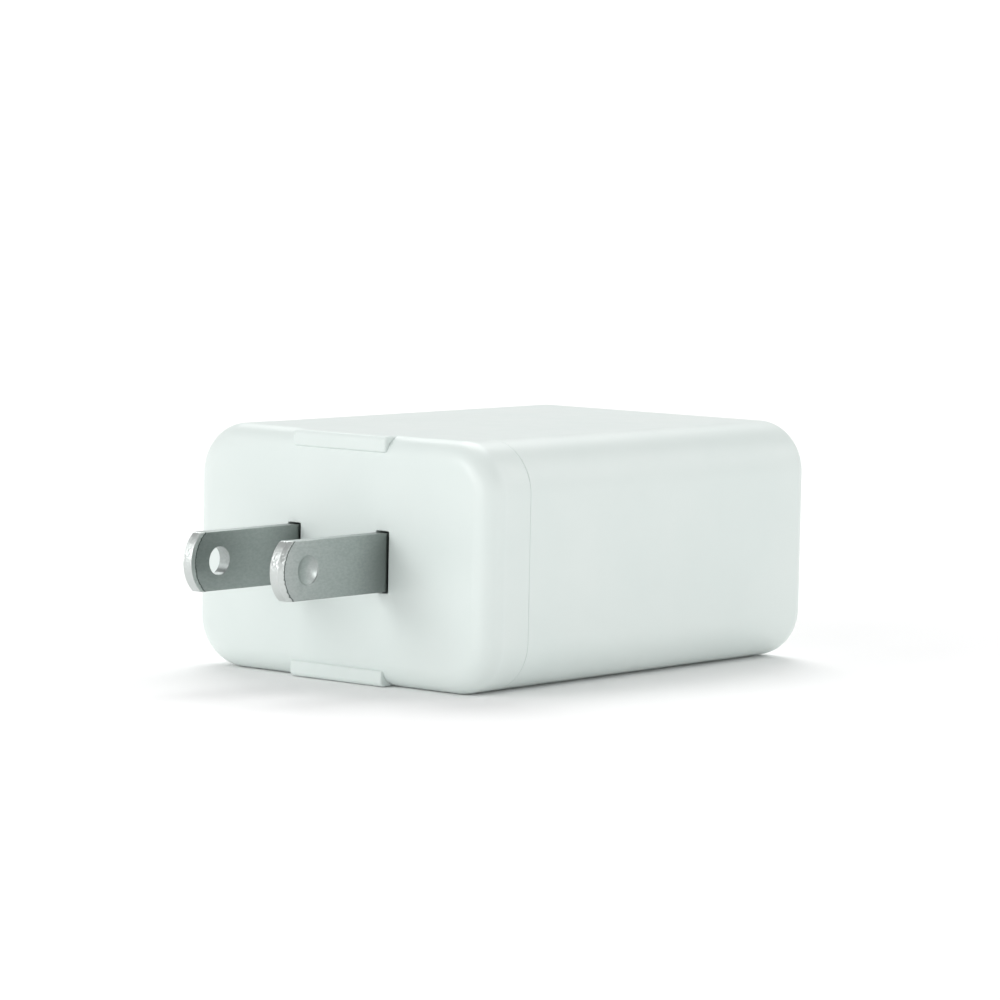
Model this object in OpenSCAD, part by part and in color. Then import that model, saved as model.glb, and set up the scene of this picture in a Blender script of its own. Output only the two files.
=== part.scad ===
// USB wall charger: two-piece welded case, two fixed flat blades and two USB-A sockets.
// Millimetres, +Z up. The charger lies on its broad side: blades point to +Y, sockets open to -Y.
// The origin is under the middle of the whole object, blades included, on the resting plane.

/* [Case] */
// Width of the case, side to side
body_w = 42.6; // [42.2:0.1:44]
// Height of the case as it lies
body_h = 27; // [27:0.1:28]
// Depth of the case, socket end to plug face
body_d = 57; // [57:0.5:59]
// Radius of the four long corners
corner_r = 5.7; // [5:0.1:6]
// Rounding of the edge around the plug face
plug_fillet = 2.6; // [2:0.1:2.8]
// Rounding of the edge around the socket end
port_fillet = 2; // [1:0.1:2.4]
// Rounding of the two rims that meet at the seam
seam_fillet = 0.15; // [0.1:0.05:0.25]
// Thickness of the case walls
wall = 2; // [1.8:0.1:2.1]

/* [Plug cover] */
// Depth of the cover, plug face to seam
cover_d = 6.7; // [6.5:0.1:7.2]
// Thickness of the collar that slides into the sleeve
collar_t = 1.2; // [1:0.1:1.4]
// Depth of the collar past the seam
collar_d = 2.6; // [2:0.1:3]
// Width of each grip ledge
ledge_w = 13.2; // [10:0.2:16]
// Height of each grip ledge's front
ledge_h = 1.8; // [1.4:0.1:2]
// How far each grip ledge stands in front of the plug face
ledge_proud = 0.1; // [0.05:0.05:0.3]
// Rounding of each grip ledge's outer edge
ledge_r = 0.6; // [0.4:0.1:0.8]
// Gap between a blade and its slot, each side
slot_gap = 0.15; // [0.1:0.05:0.25]

/* [Blades] */
// Distance between the two blades, centre to centre
blade_pitch = 12.7; // [12.7]
// Width of each blade
blade_w = 6.35; // [6.35]
// Thickness of each blade
blade_t = 1.5; // [1.4:0.05:1.6]
// Length of blade in front of the plug face
blade_len = 17; // [16:0.5:18]
// Radius of the rounded blade tip
tip_r = 4; // [3.6:0.1:6]
// Length of the bevel at the tip
tip_bevel = 0.7; // [0.5:0.1:1.6]
// Depth of the bevel at the tip
tip_bevel_t = 0.35; // [0.2:0.05:0.5]
// Diameter of the detent hole and dimple
detent_d = 3.1; // [3:0.1:3.4]
// Distance of the detent hole and dimple from the plug face
detent_y = 12.6; // [11.9:0.1:12.8]
// Depth of the dimple
dimple_t = 0.4; // [0.3:0.05:0.5]

/* [Sockets] */
// Distance between the two sockets, centre to centre
port_pitch = 18; // [17:0.5:18.5]
// Inside width of a socket
mouth_w = 12.5; // [12.5]
// Inside height of a socket
mouth_h = 5.12; // [5.12]
// Thickness of the socket's steel shell
shell_t = 0.3; // [0.3]
// How far the shell's rim sits back from the socket end
shell_inset = 0.5; // [0.3:0.1:0.6]
// Length of the socket's shell
shell_len = 13.7; // [13.7]

/* [Boards] */
// Thickness of the main board
board_t = 1.6; // [1.2:0.1:1.6]
// Height of the main board's underside
board_z = 5; // [5]
// Width of the main board
board_w = 35.4; // [35:0.1:35.6]
// Thickness of the socket board
port_board_t = 1.2; // [1:0.1:1.2]

/* [Hidden] */

$fn = 48;
eps = 0.01;                             // smallest overlap used when one shape is cut from another
play = 0.05;                            // gap between pieces that touch when assembled
left = -1;                              // the side of -X
right = 1;                              // the side of +X

// Stations along Y and heights along Z
face_y = (body_d - blade_len) / 2;      // plug face
tip_y = face_y + blade_len;             // blade tips
end_y = face_y - body_d;                // socket end
seam_y = face_y - cover_d;              // seam between sleeve and cover
mid_z = body_h / 2;                     // height of blades and sockets
blade_x = blade_pitch / 2;              // middle plane of a blade, left or right
tail_y = face_y - 12;                   // inner end of a blade

// Main board and its rails
board_top = board_z + board_t;
board_front_y = end_y + 3;
board_rear_y = seam_y - 0.9;
rail_in_x = board_w / 2 - 0.8;          // inner edge of the two board rails
rail_end_y = seam_y - collar_d - 0.3;   // plug-side end of the board rails

// Blade retainer and the pegs that stake it to the cover
retainer_y = face_y - wall - 3.6;       // inner face of the blade retainer
retainer_w = 25;
retainer_h = 11;
peg_r = 0.9;
peg_x = 10.2;                           // pegs sit at plus and minus these, about the blades' height
peg_z = 3.4;
peg_head_r = 1.5;
peg_head_t = 0.6;

// Contact springs
spring_t = 0.35;
spring_w = 3.2;
spring_y = tail_y + 0.5;                // inner edge of a spring's strip
crest_x = blade_x + (blade_t + spring_t + play) / 2;    // where a spring presses on its blade
foot_x = crest_x + 1.7;                 // where a spring enters the board

// Socket stations
shell_w = mouth_w + 2 * shell_t;
shell_h = mouth_h + 2 * shell_t;
shell_y = end_y + shell_inset;          // rim of a socket's shell
shell_back_y = shell_y + shell_len;
port_board_y = shell_back_y + 0.1;      // front face of the socket board
tongue_y = shell_y + 1.6;               // front edge of a socket's tongue
tongue_t = 1.84;
tongue_z = mid_z + 0.1;                 // underside of a socket's tongue
contact_xs = [-3.5, -1, 1, 3.5];        // the four contacts across a socket
contact_w = 1;
contact_t = 0.3;
contact_proud = 0.1;                    // how far a contact stands out of the tongue's underside
tab_w = 3;                              // tabs that plug the socket board into the main board
tab_x = 13;

// Component stations on the main board
bulk_x = 11.85;
bulk_y = -7;
bulk_r = 5;
bulk_h = 16;
output_x = 12.2;
output_y = -16.9;
output_r = 4;
output_h = 11.5;
standoff = 0.2;                         // gap between a component's body and the board
coil_y = -11.9;                         // middle of the transformer
core_len = 17;
core_w = 7;
core_leg = 2.6;
core_mid = 5.2;
core_z = 8.2;
core_h = 13.2;
window_z = core_z + core_leg;
window_h = core_h - 2 * core_leg;
window_half = core_len / 2 - core_leg;  // from the coil's axis to the inside of an outer leg
tube_y = core_mid + 1.6;                // outside of the bobbin's tube, along Y and X
tube_x = core_w + 1.6;
coil_half_x = 6.2;
flange_t = 0.8;
coil_x = 2 * coil_half_x - 0.5;         // outside of the winding along X
coil_len_y = 2 * window_half - 0.7;     // outside of the winding along Y
coil_z = window_z + 0.1 + flange_t + play;
coil_h = window_h - 0.2 - 2 * flange_t - 2 * play;
choke_x = 12.9;
choke_y = 5.6;
choke_z = 14.2;
ring_r0 = 3;                            // inside and outside radius and width of the choke's ring
ring_r1 = 5.4;
ring_w = 4;
spreader_t = 0.8;
spreader_z = body_h - wall - spreader_t - 0.3;

// ---------- shared shapes ----------

// Extrudes a shape drawn in X and Z from y0 to y1
module along_y(y0, y1) {
    translate([0, y1, 0]) rotate([90, 0, 0]) linear_extrude(y1 - y0) children();
}

// Extrudes a shape drawn in Y and Z from x0 to x1
module along_x(x0, x1) {
    translate([x0, 0, 0]) rotate([90, 0, 90]) linear_extrude(x1 - x0) children();
}

// Rounded rectangle centred on the origin
module rounded_rect(w, h, r) {
    square([w - 2 * r, h], center = true);
    square([w, h - 2 * r], center = true);
    for (sx = [-1, 1], sy = [-1, 1])
        translate([sx * (w / 2 - r), sy * (h / 2 - r)]) circle(r);
}

// Box from its lowest corner and size
module block(x, y, z, w, d, h) {
    translate([x, y, z]) cube([w, d, h]);
}

// Box centred in X and Y on a foot height
module standing_block(x, y, z, w, d, h) {
    translate([x - w / 2, y - d / 2, z]) cube([w, d, h]);
}

// Half section of a rounded wall of thickness r: its outer corners are rounded by r_near and r_far
module wall_section(r, len, r_near, r_far) {
    intersection() {
        square([r, len]);
        union() {
            translate([0, r_near]) square([r, len - r_near - r_far]);
            square([r - r_near, len / 2]);
            translate([0, len / 2]) square([r - r_far, len / 2]);
            translate([r - r_near, r_near]) circle(r_near);
            translate([r - r_far, len - r_far]) circle(r_far);
        }
    }
}

// Block with round long corners and round end edges, from y0 to y1, made of parts that only abut
module rounded_block(y0, y1, w, h, r, r_y0, r_y1) {
    len = y1 - y0;
    cx = w / 2 - r;
    cz = h / 2 - r;
    translate([0, y1, mid_z]) rotate([90, 0, 0]) {
        translate([-cx, -cz, 0]) cube([2 * cx, 2 * cz, len]);
        for (turn = [0 : 3]) {
            sx = (turn == 0 || turn == 3) ? 1 : -1;
            sz = (turn < 2) ? 1 : -1;
            translate([sx * cx, sz * cz, 0]) rotate([0, 0, 90 * turn])
                rotate_extrude(angle = 90) wall_section(r, len, r_y1, r_y0);
        }
        for (turn = [0, 180]) rotate([0, 0, turn]) {
            translate([cx, cz, 0]) rotate([90, 0, 0])
                linear_extrude(2 * cz) wall_section(r, len, r_y1, r_y0);
            rotate([0, 0, 90]) translate([cz, cx, 0]) rotate([90, 0, 0])
                linear_extrude(2 * cx) wall_section(r, len, r_y1, r_y0);
        }
    }
}

// ---------- case ----------

// Straight hollow of the case, from y0 to y1, set in from the outside by inset
module case_hollow(y0, y1, inset) {
    along_y(y0, y1) translate([0, mid_z])
        rounded_rect(body_w - 2 * inset, body_h - 2 * inset, corner_r - inset);
}

// Opening for one socket, with a shallow step around it on the outside
module port_opening(side) {
    step = 0.4;
    along_y(end_y - 1, end_y + wall + 1) translate([side * port_pitch / 2, mid_z])
        rounded_rect(shell_w + 2 * play, shell_h + 2 * play, 0.65);
    along_y(end_y - 1, end_y + step) translate([side * port_pitch / 2, mid_z])
        rounded_rect(shell_w + 2 * step, shell_h + 2 * step, 0.9);
}

// Sleeve with the socket end wall and the rails that the main board slides on
module main_housing() {
    rail_root = 1;                      // how far the rails are sunk into the walls
    rail_w = body_w / 2 - rail_root - rail_in_x;
    nub_l = 6;
    nub_h = 1.2;
    color("#E3ECE8") difference() {
        rounded_block(end_y, seam_y, body_w, body_h, corner_r, port_fillet, seam_fillet);
        difference() {
            case_hollow(end_y + wall, seam_y + 1, wall);
            for (side = [left, right]) {
                rail_x = side * (rail_in_x + rail_w / 2);
                standing_block(rail_x, (end_y + rail_root + rail_end_y) / 2, rail_root,
                    rail_w, rail_end_y - end_y - rail_root, board_z - rail_root - play);
                standing_block(rail_x, end_y + rail_root + nub_l / 2, board_top + play,
                    rail_w, nub_l, nub_h);
            }
        }
        port_opening(left);
        port_opening(right);
    }
}

// Section of one grip ledge, in Y and Z, with its outer edge rounded
module ledge_section(shrink) {
    front = face_y + ledge_proud - shrink;
    top = body_h - shrink;
    foot = body_h - ledge_h + shrink;
    back = face_y - plug_fillet;
    translate([back, foot]) square([front - back, top - foot - ledge_r]);
    translate([back, foot]) square([front - back - ledge_r, top - foot]);
    translate([front - ledge_r, top - ledge_r]) circle(ledge_r);
}

// Grip ledge on the top edge of the plug face, stepped down once at each end
module grip_ledge() {
    step_w = 0.5;
    step_t = 0.08;
    along_x(-ledge_w / 2, ledge_w / 2) ledge_section(step_t);
    along_x(-ledge_w / 2 + step_w, ledge_w / 2 - step_w) ledge_section(0);
}

// Cover that carries the blades, with its collar, grip ledges and the staked pegs of the retainer
module plug_cover() {
    slot_w = blade_t + 2 * slot_gap;
    slot_h = blade_w + 2 * slot_gap;
    color("#E3ECE8") {
        difference() {
            union() {
                rounded_block(seam_y, face_y, body_w, body_h, corner_r, seam_fillet, plug_fillet);
                case_hollow(seam_y - collar_d, seam_y + 1, wall + play);
                grip_ledge();
                translate([0, 0, body_h]) mirror([0, 0, 1]) grip_ledge();
            }
            case_hollow(seam_y - collar_d - 1, face_y - wall, wall + collar_t);
            for (side = [left, right])
                block(side * blade_x - slot_w / 2, face_y - wall - 1, mid_z - slot_h / 2,
                    slot_w, wall + 2, slot_h);
        }
        for (x = [-peg_x, peg_x], z = [-peg_z, peg_z]) translate([x, 0, mid_z + z]) {
            along_y(retainer_y - peg_head_t, face_y - wall + eps) circle(peg_r);
            along_y(retainer_y - peg_head_t, retainer_y - play) circle(peg_head_r);
        }
    }
}

// ---------- blades and contacts ----------

// Outline of a blade in Y and Z: round tip, two notches where the retainer grips it
module blade_outline() {
    notch = 0.9;
    notch_y = retainer_y + 1.2;
    difference() {
        intersection() {
            translate([tail_y, -blade_w / 2]) square([tip_y - tail_y, blade_w]);
            union() {
                translate([tail_y, -blade_w / 2]) square([tip_y - tip_r - tail_y, blade_w]);
                translate([tip_y - tip_r, 0]) circle(tip_r, $fn = 96);
            }
        }
        for (s = [-1, 1]) translate([notch_y, s * blade_w / 2 - notch / 2]) square([1.2, notch]);
    }
}

// Wedge cut from the outer face of a blade's tip
module tip_wedge(side) {
    outer_x = side * (blade_x + blade_t / 2);
    translate([0, 0, mid_z - blade_w]) linear_extrude(2 * blade_w)
        polygon([[outer_x + side, tip_y - tip_bevel], [outer_x, tip_y - tip_bevel],
            [outer_x - side * tip_bevel_t, tip_y], [outer_x - side * tip_bevel_t, tip_y + 1],
            [outer_x + side, tip_y + 1]]);
}

// One blade without its detent
module plain_blade(side) {
    difference() {
        translate([0, 0, mid_z])
            along_x(side * blade_x - blade_t / 2, side * blade_x + blade_t / 2) blade_outline();
        tip_wedge(side);
    }
}

// Round cutter across a blade at the detent's place, from x0 to x1
module detent_cut(x0, x1) {
    translate([0, 0, mid_z]) along_x(x0, x1)
        translate([face_y + detent_y, 0]) circle(d = detent_d);
}

// Blade with a blind dimple in its outer face
module line_blade() {
    outer_x = -blade_x - blade_t / 2;
    color("#9A9F99") difference() {
        plain_blade(left);
        detent_cut(outer_x - 1, outer_x + dimple_t);
    }
}

// Blade with a hole right through
module neutral_blade() {
    color("#9A9F99") difference() {
        plain_blade(right);
        detent_cut(blade_x - blade_t, blade_x + blade_t);
    }
}

// Moulded block that grips both blades behind the plug face
module blade_retainer() {
    color("#D9D6CC") difference() {
        along_y(retainer_y, face_y - wall - play) translate([0, mid_z])
            rounded_rect(retainer_w, retainer_h, 1.5);
        for (side = [-1, 1]) translate([0, 0, mid_z])
            along_x(side * blade_x - blade_t / 2 - play, side * blade_x + blade_t / 2 + play)
                blade_outline();
        for (x = [-peg_x, peg_x], z = [-peg_z, peg_z]) translate([x, 0, mid_z + z])
            along_y(retainer_y - 1, face_y) circle(peg_r + play);
    }
}

// Direction across a bent strip at point i, long enough to keep the strip's thickness at a bend
function across(points, i) =
    let (last = len(points) - 1)
    let (before = points[max(i, 1)] - points[max(i, 1) - 1])
    let (after = points[min(i + 1, last)] - points[min(i, last - 1)])
    let (u = before / norm(before), v = after / norm(after))
    let (sum = [-u.y - v.y, u.x + v.x])
    2 * sum / (sum * sum);

// Bent strip of thickness t along a list of points
module bent_strip(points, t) {
    near_side = [for (i = [0 : len(points) - 1]) points[i] + across(points, i) * t / 2];
    far_side = [for (i = [len(points) - 1 : -1 : 0]) points[i] - across(points, i) * t / 2];
    polygon(concat(near_side, far_side));
}

// Leaf that stands in the main board and presses on the outside of a blade's tail
module contact_spring(side) {
    shape = [[foot_x, board_z - 0.8], [foot_x, mid_z - 4], [crest_x, mid_z], [crest_x + 1, mid_z + 2.6]];
    along_y(spring_y, spring_y + spring_w)
        bent_strip([for (p = shape) [side * p.x, p.y]], spring_t);
}

module line_contact_spring() {
    color("#C9A868") contact_spring(left);
}

module neutral_contact_spring() {
    color("#C9A868") contact_spring(right);
}

// ---------- boards ----------

// Main board with slots for the socket board's tabs and the contact springs' feet
module main_board() {
    slot_h = board_t + 2;
    color("#2F6B45") difference() {
        translate([0, (board_front_y + board_rear_y) / 2, board_z]) linear_extrude(board_t)
            rounded_rect(board_w, board_rear_y - board_front_y, 1);
        for (side = [left, right]) {
            standing_block(side * tab_x, port_board_y + port_board_t / 2, board_z - 1,
                tab_w + 2 * play, port_board_t + 2 * play, slot_h);
            standing_block(side * foot_x, spring_y + spring_w / 2, board_z - 1,
                spring_t + 2 * play, spring_w + 2 * play, slot_h);
        }
    }
}

// Upright board that carries the two sockets and plugs into the main board with two tabs
module usb_board() {
    board_x = board_w / 2 - 1;
    height = 12.5;
    tab_drop = 0.5;                     // how far a tab comes out under the main board
    color("#2F6B45") {
        block(-board_x, port_board_y, board_top + play, 2 * board_x, port_board_t, height);
        for (side = [left, right])
            block(side * tab_x - tab_w / 2, port_board_y, board_z - tab_drop, tab_w, port_board_t,
                tab_drop + board_t + 2 * play);
    }
}

// Chip on a board at height foot_z with gull-wing legs on its two long sides; up is 1 or -1
module chip(x, y, foot_z, up, w, d, h, legs, pitch) {
    lift = 0.1;
    leg_w = 0.4;
    leg_t = 0.2;
    leg_out = 0.45;                     // from the body's side to the leg's upright
    foot_l = 0.8;
    upright_x = w / 2 + leg_out;
    translate([x, y, foot_z]) mirror([0, 0, up < 0 ? 1 : 0]) {
        standing_block(0, 0, lift, w, d, h);
        for (i = [0 : legs - 1]) {
            leg_y = (i - (legs - 1) / 2) * pitch;
            standing_block(0, leg_y, h / 2, 2 * upright_x, leg_w, leg_t);
            for (side = [left, right]) {
                standing_block(side * upright_x, leg_y, 0, leg_t, leg_w, h / 2 + leg_t);
                standing_block(side * (upright_x + (foot_l - leg_t) / 2), leg_y, 0, foot_l, leg_w, leg_t);
            }
        }
    }
}

module bridge_rectifier() {
    color("#2A2A2C") chip(0, 4.2, board_z, -1, 4.6, 6, 1.4, 2, 3.8);
}

module primary_controller() {
    color("#2A2A2C") chip(-9, -1.5, board_z, -1, 3.9, 4.9, 1.5, 4, 1.27);
}

module synchronous_rectifier() {
    color("#2A2A2C") chip(7, -24.5, board_z, -1, 3.9, 4.9, 1.5, 4, 1.27);
}

module optocoupler() {
    color("#2A2A2C") chip(10.5, -13, board_z, -1, 4.4, 4.6, 1.9, 2, 2.54);
}

module port_controller() {
    color("#2A2A2C") translate([6.2, port_board_y + port_board_t, 17]) rotate([-90, 0, 0])
        chip(0, 0, 0, 1, 1.7, 2.9, 1.1, 3, 0.95);
}

// ---------- sockets ----------

// Spring leaf above (up = 1) or below: rooted at the rear of its window and bent in at the front
module leaf(x, up) {
    leaf_w = 1.4;
    root = [shell_y + 9.2, up * (mouth_h + shell_t) / 2];
    dip = [shell_y + 5, up * (mouth_h / 2 - 0.15)];
    lip = [shell_y + 3.7, root.y - up * 0.1];
    along_x(x - leaf_w / 2, x + leaf_w / 2) bent_strip([root, dip, lip], shell_t);
}

// Drawn steel shell of one socket, with two spring leaves above and two below in their windows
module usb_shell(side) {
    leaf_x = 3.2;
    window_w = 2.2;
    window_l = 6;
    color("#C4C6C6") translate([side * port_pitch / 2, 0, mid_z]) {
        difference() {
            along_y(shell_y, shell_back_y) rounded_rect(shell_w, shell_h, 0.6);
            along_y(shell_y - 1, shell_back_y + 1) rounded_rect(mouth_w, mouth_h, 0.3);
            for (x = [-leaf_x, leaf_x])
                block(x - window_w / 2, shell_y + 3, -shell_h, window_w, window_l, 2 * shell_h);
        }
        for (x = [-leaf_x, leaf_x], up = [-1, 1]) leaf(x, up);
    }
}

// Moulded tongue and rear block that hold one socket's contacts
module usb_tongue(side) {
    tongue_w = 11.1;
    block_d = 2.4;
    groove_w = contact_w + 2 * play;
    groove_t = contact_t - contact_proud + play;
    color("#F2F2EE") translate([side * port_pitch / 2, 0, 0]) {
        difference() {
            union() {
                block(-tongue_w / 2, tongue_y, tongue_z, tongue_w, shell_back_y - tongue_y - 1, tongue_t);
                along_y(shell_back_y - block_d, shell_back_y - play) translate([0, mid_z])
                    rounded_rect(mouth_w - 2 * play, mouth_h - 2 * play, 0.25);
            }
            for (x = contact_xs)
                block(x - groove_w / 2, tongue_y + 0.8, tongue_z - 1, groove_w, shell_len, 1 + groove_t);
        }
    }
}

// Four gilt contacts under one socket's tongue, with their tails at the socket board
module usb_contacts(side) {
    contact_y = tongue_y + 0.9;
    color("#D9B65A") translate([side * port_pitch / 2, 0, 0])
        for (x = contact_xs)
            block(x - contact_w / 2, contact_y, tongue_z - contact_proud, contact_w,
                shell_back_y - contact_y, contact_t);
}

module usb_shell_left() { usb_shell(left); }
module usb_shell_right() { usb_shell(right); }
module usb_tongue_left() { usb_tongue(left); }
module usb_tongue_right() { usb_tongue(right); }
module usb_contacts_left() { usb_contacts(left); }
module usb_contacts_right() { usb_contacts(right); }

// ---------- components on the main board ----------

// Straight lead from the board up to height z1
module lead(x, y, z1) {
    translate([x, y, board_top]) cylinder(r = 0.3, h = z1 - board_top);
}

// Radial fuse in a round cap
module fuse() {
    color("#3A3733") translate([0, 8, 0]) {
        translate([0, 0, board_top + standoff]) rotate_extrude() {
            square([4.2, 7.2]);
            square([3.8, 7.6]);
        }
        for (x = [-2.5, 2.5]) lead(x, 0, board_top + standoff + eps);
    }
}

// Boxed film capacitor across the line
module x_capacitor() {
    x0 = -16.4;
    color("#D9B23A") {
        block(x0, -0.4, board_top + standoff, 5.5, 12.4, 11);
        for (y = [1, 10.6]) lead(x0 + 2.75, y, board_top + standoff + eps);
    }
}

// Disc capacitor bridging the two sides of the board
module y_capacitor() {
    disc_r = 4;
    disc_z = board_top + 1.4 + disc_r;
    color("#2E6FA8") {
        translate([0, 0.6, disc_z]) rotate([90, 0, 0]) rotate_extrude() {
            translate([0, -1.6]) square([disc_r - 1.2, 3.2]);
            translate([disc_r - 1.2, 0]) intersection() {
                circle(1.6);
                translate([0, -2]) square([1.2, 4]);
            }
        }
        for (x = [-2.4, 2.4]) lead(x, 0.6, disc_z - 2.6);
    }
}

// Sector of a ring around X: r0 inner, r1 outer, w wide, sweep degrees from the angle start
module ring_sector(r0, r1, w, start, sweep) {
    translate([choke_x, choke_y, choke_z]) rotate([0, 90, 0]) rotate([0, 0, start])
        rotate_extrude(angle = sweep) translate([r0, -w / 2]) square([r1 - r0, w]);
}

// Ring core of the mains choke
module choke_core() {
    color("#4A7D4E") ring_sector(ring_r0, ring_r1, ring_w, 0, 360);
}

// Coil around one half of the ring, a film of enamel clear of it
module choke_winding(middle) {
    sweep = 130;
    wire_t = 0.9;
    color("#B4642C") difference() {
        ring_sector(ring_r0 - wire_t, ring_r1 + wire_t, ring_w + 2 * wire_t, middle - sweep / 2, sweep);
        ring_sector(ring_r0 - play, ring_r1 + play, ring_w + 2 * play, 0, 360);
    }
}

module choke_winding_front() { choke_winding(270); }
module choke_winding_rear() { choke_winding(90); }

// Insulating foot under the choke, with a post between the coils up to the ring
module choke_base() {
    plate_t = 0.8;
    foot_z = board_top + play;
    color("#26282A") {
        standing_block(choke_x, choke_y, foot_z, 6.4, 11, plate_t);
        standing_block(choke_x, choke_y, foot_z, ring_w, 2, choke_z - ring_r1 - play - foot_z);
    }
}

// Drawn can with a rolled bead near its open end
module capacitor_can(x, y, r, h, bead_z) {
    bead_r = 0.4;
    can_t = 0.6;
    translate([x, y, board_top + standoff]) difference() {
        rotate_extrude() difference() {
            square([r, h]);
            translate([r, bead_z]) circle(bead_r, $fn = 24);
        }
        translate([0, 0, -1]) cylinder(r = r - can_t, h = 1 + bead_z - bead_r);
    }
}

// Rubber bung in a can's open end, with both leads
module capacitor_bung(x, y, r, bead_z, lead_gap) {
    can_t = 0.6;
    bung_z = board_top + standoff + play;
    translate([x, y, bung_z]) cylinder(r = r - can_t - play, h = bead_z - can_t);
    for (side = [left, right]) lead(x + side * lead_gap / 2, y, bung_z + 0.2);
}

// Shrink sleeve around a can, turned over the can's top edge
module capacitor_sleeve(x, y, r, h) {
    skin = 0.1;
    hem_z = 0.6;                        // the sleeve ends this far above the can's foot
    lip_w = 1.1;
    translate([x, y, board_top + standoff + hem_z]) rotate_extrude() {
        translate([r - skin, 0]) square([skin, h - hem_z + play + skin]);
        translate([r - lip_w, h - hem_z + play]) square([lip_w, skin]);
    }
}

module bulk_can(side) {
    color("#C9CBCD") capacitor_can(side * bulk_x, bulk_y, bulk_r - 0.15, bulk_h, 2.4);
}
module bulk_sleeve(side) {
    color("#23262B") capacitor_sleeve(side * bulk_x, bulk_y, bulk_r, bulk_h);
}
module bulk_bung(side) {
    color("#1F1F20") capacitor_bung(side * bulk_x, bulk_y, bulk_r - 0.15, 2.4, 5);
}
module output_can(side) {
    color("#C9CBCD") capacitor_can(side * output_x, output_y, output_r, output_h, 2);
}
module output_bung(side) {
    color("#1F1F20") capacitor_bung(side * output_x, output_y, output_r, 2, 3.5);
}

module bulk_capacitor_can_left() { bulk_can(left); }
module bulk_capacitor_can_right() { bulk_can(right); }
module bulk_capacitor_sleeve_left() { bulk_sleeve(left); }
module bulk_capacitor_sleeve_right() { bulk_sleeve(right); }
module bulk_capacitor_bung_left() { bulk_bung(left); }
module bulk_capacitor_bung_right() { bulk_bung(right); }
module output_capacitor_can_left() { output_can(left); }
module output_capacitor_can_right() { output_can(right); }
module output_capacitor_bung_left() { output_bung(left); }
module output_capacitor_bung_right() { output_bung(right); }

// ---------- transformer ----------

// E-shaped core half drawn from its back at z = 0 to its leg ends at half the core's height
module core_half() {
    half_h = core_h / 2 - play / 2;
    standing_block(0, coil_y, 0, core_w, core_len, core_leg);
    standing_block(0, coil_y, 0, core_w, core_mid, half_h);
    for (side = [-1, 1])
        standing_block(0, coil_y + side * (core_len - core_leg) / 2, 0, core_w, core_leg, half_h);
}

module transformer_core_lower() {
    color("#3B3B3D") translate([0, 0, core_z]) core_half();
}

module transformer_core_upper() {
    color("#3B3B3D") translate([0, 0, core_z + core_h]) mirror([0, 0, 1]) core_half();
}

// Bobbin: tube, two flanges and the two rails that hold the pins
module transformer_bobbin() {
    flange_y = 2 * (window_half - 0.1);
    rail_x = core_w / 2 + 0.2;
    rail_w = coil_half_x - rail_x;
    color("#1E2A38") difference() {
        union() {
            standing_block(0, coil_y, window_z + 0.1, tube_x, tube_y, window_h - 0.2);
            for (z = [window_z + 0.1, window_z + window_h - 0.1 - flange_t])
                standing_block(0, coil_y, z, 2 * coil_half_x, flange_y, flange_t);
            for (side = [-1, 1])
                standing_block(side * (rail_x + rail_w / 2), coil_y, board_top + standoff, rail_w, 15.5,
                    window_z + 0.1 + flange_t - board_top - standoff);
        }
        standing_block(0, coil_y, window_z - 1, core_w + 0.2, core_mid + 0.2, window_h + 2);
    }
}

// Upright ring with round corners around the bobbin's tube
module coil_ring(out_x, out_y, in_x, in_y, z0, h, r_out, r_in) {
    translate([0, coil_y, z0]) linear_extrude(h) difference() {
        rounded_rect(out_x, out_y, r_out);
        rounded_rect(in_x, in_y, r_in);
    }
}

module transformer_winding() {
    color("#B87333")
        coil_ring(coil_x, coil_len_y, tube_x + 2 * play, tube_y + 2 * play, coil_z, coil_h, 2, play);
}

module transformer_tape() {
    tape_t = 0.12;
    color("#E2C43C")
        coil_ring(coil_x + 2 * tape_t + play, coil_len_y + 2 * tape_t + play, coil_x + play,
            coil_len_y + play, coil_z + 0.1, coil_h - 0.2, 2 + tape_t, 2);
}

module transformer_pins() {
    pin_pitch = 3;
    pin_x = (core_w / 2 + 0.2 + coil_half_x) / 2;
    color("#C8C8C2") for (side = [-1, 1], i = [-2 : 2])
        translate([side * pin_x, coil_y + i * pin_pitch, board_top])
            cylinder(r = 0.3, h = standoff);
}

// ---------- heat and insulation ----------

// Aluminium plate under the case's top wall
module heat_spreader() {
    rear_y = 4;
    color("#B9BDC0") translate([0, (board_front_y + rear_y) / 2, spreader_z])
        linear_extrude(spreader_t) rounded_rect(31, rear_y - board_front_y, 1.5);
}

// Soft pad between the transformer and the plate
module thermal_pad() {
    pad_z = core_z + core_h + play;
    color("#8FA3B0") standing_block(0, coil_y, pad_z, 12, 16, spreader_z - play - pad_z);
}

// Thin sheet under the main board
module insulation_sheet() {
    color("#E9E4D2") translate([0, (board_front_y + board_rear_y) / 2, wall + play])
        linear_extrude(0.25) rounded_rect(30, board_rear_y - board_front_y - 4, 1.5);
}

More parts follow.
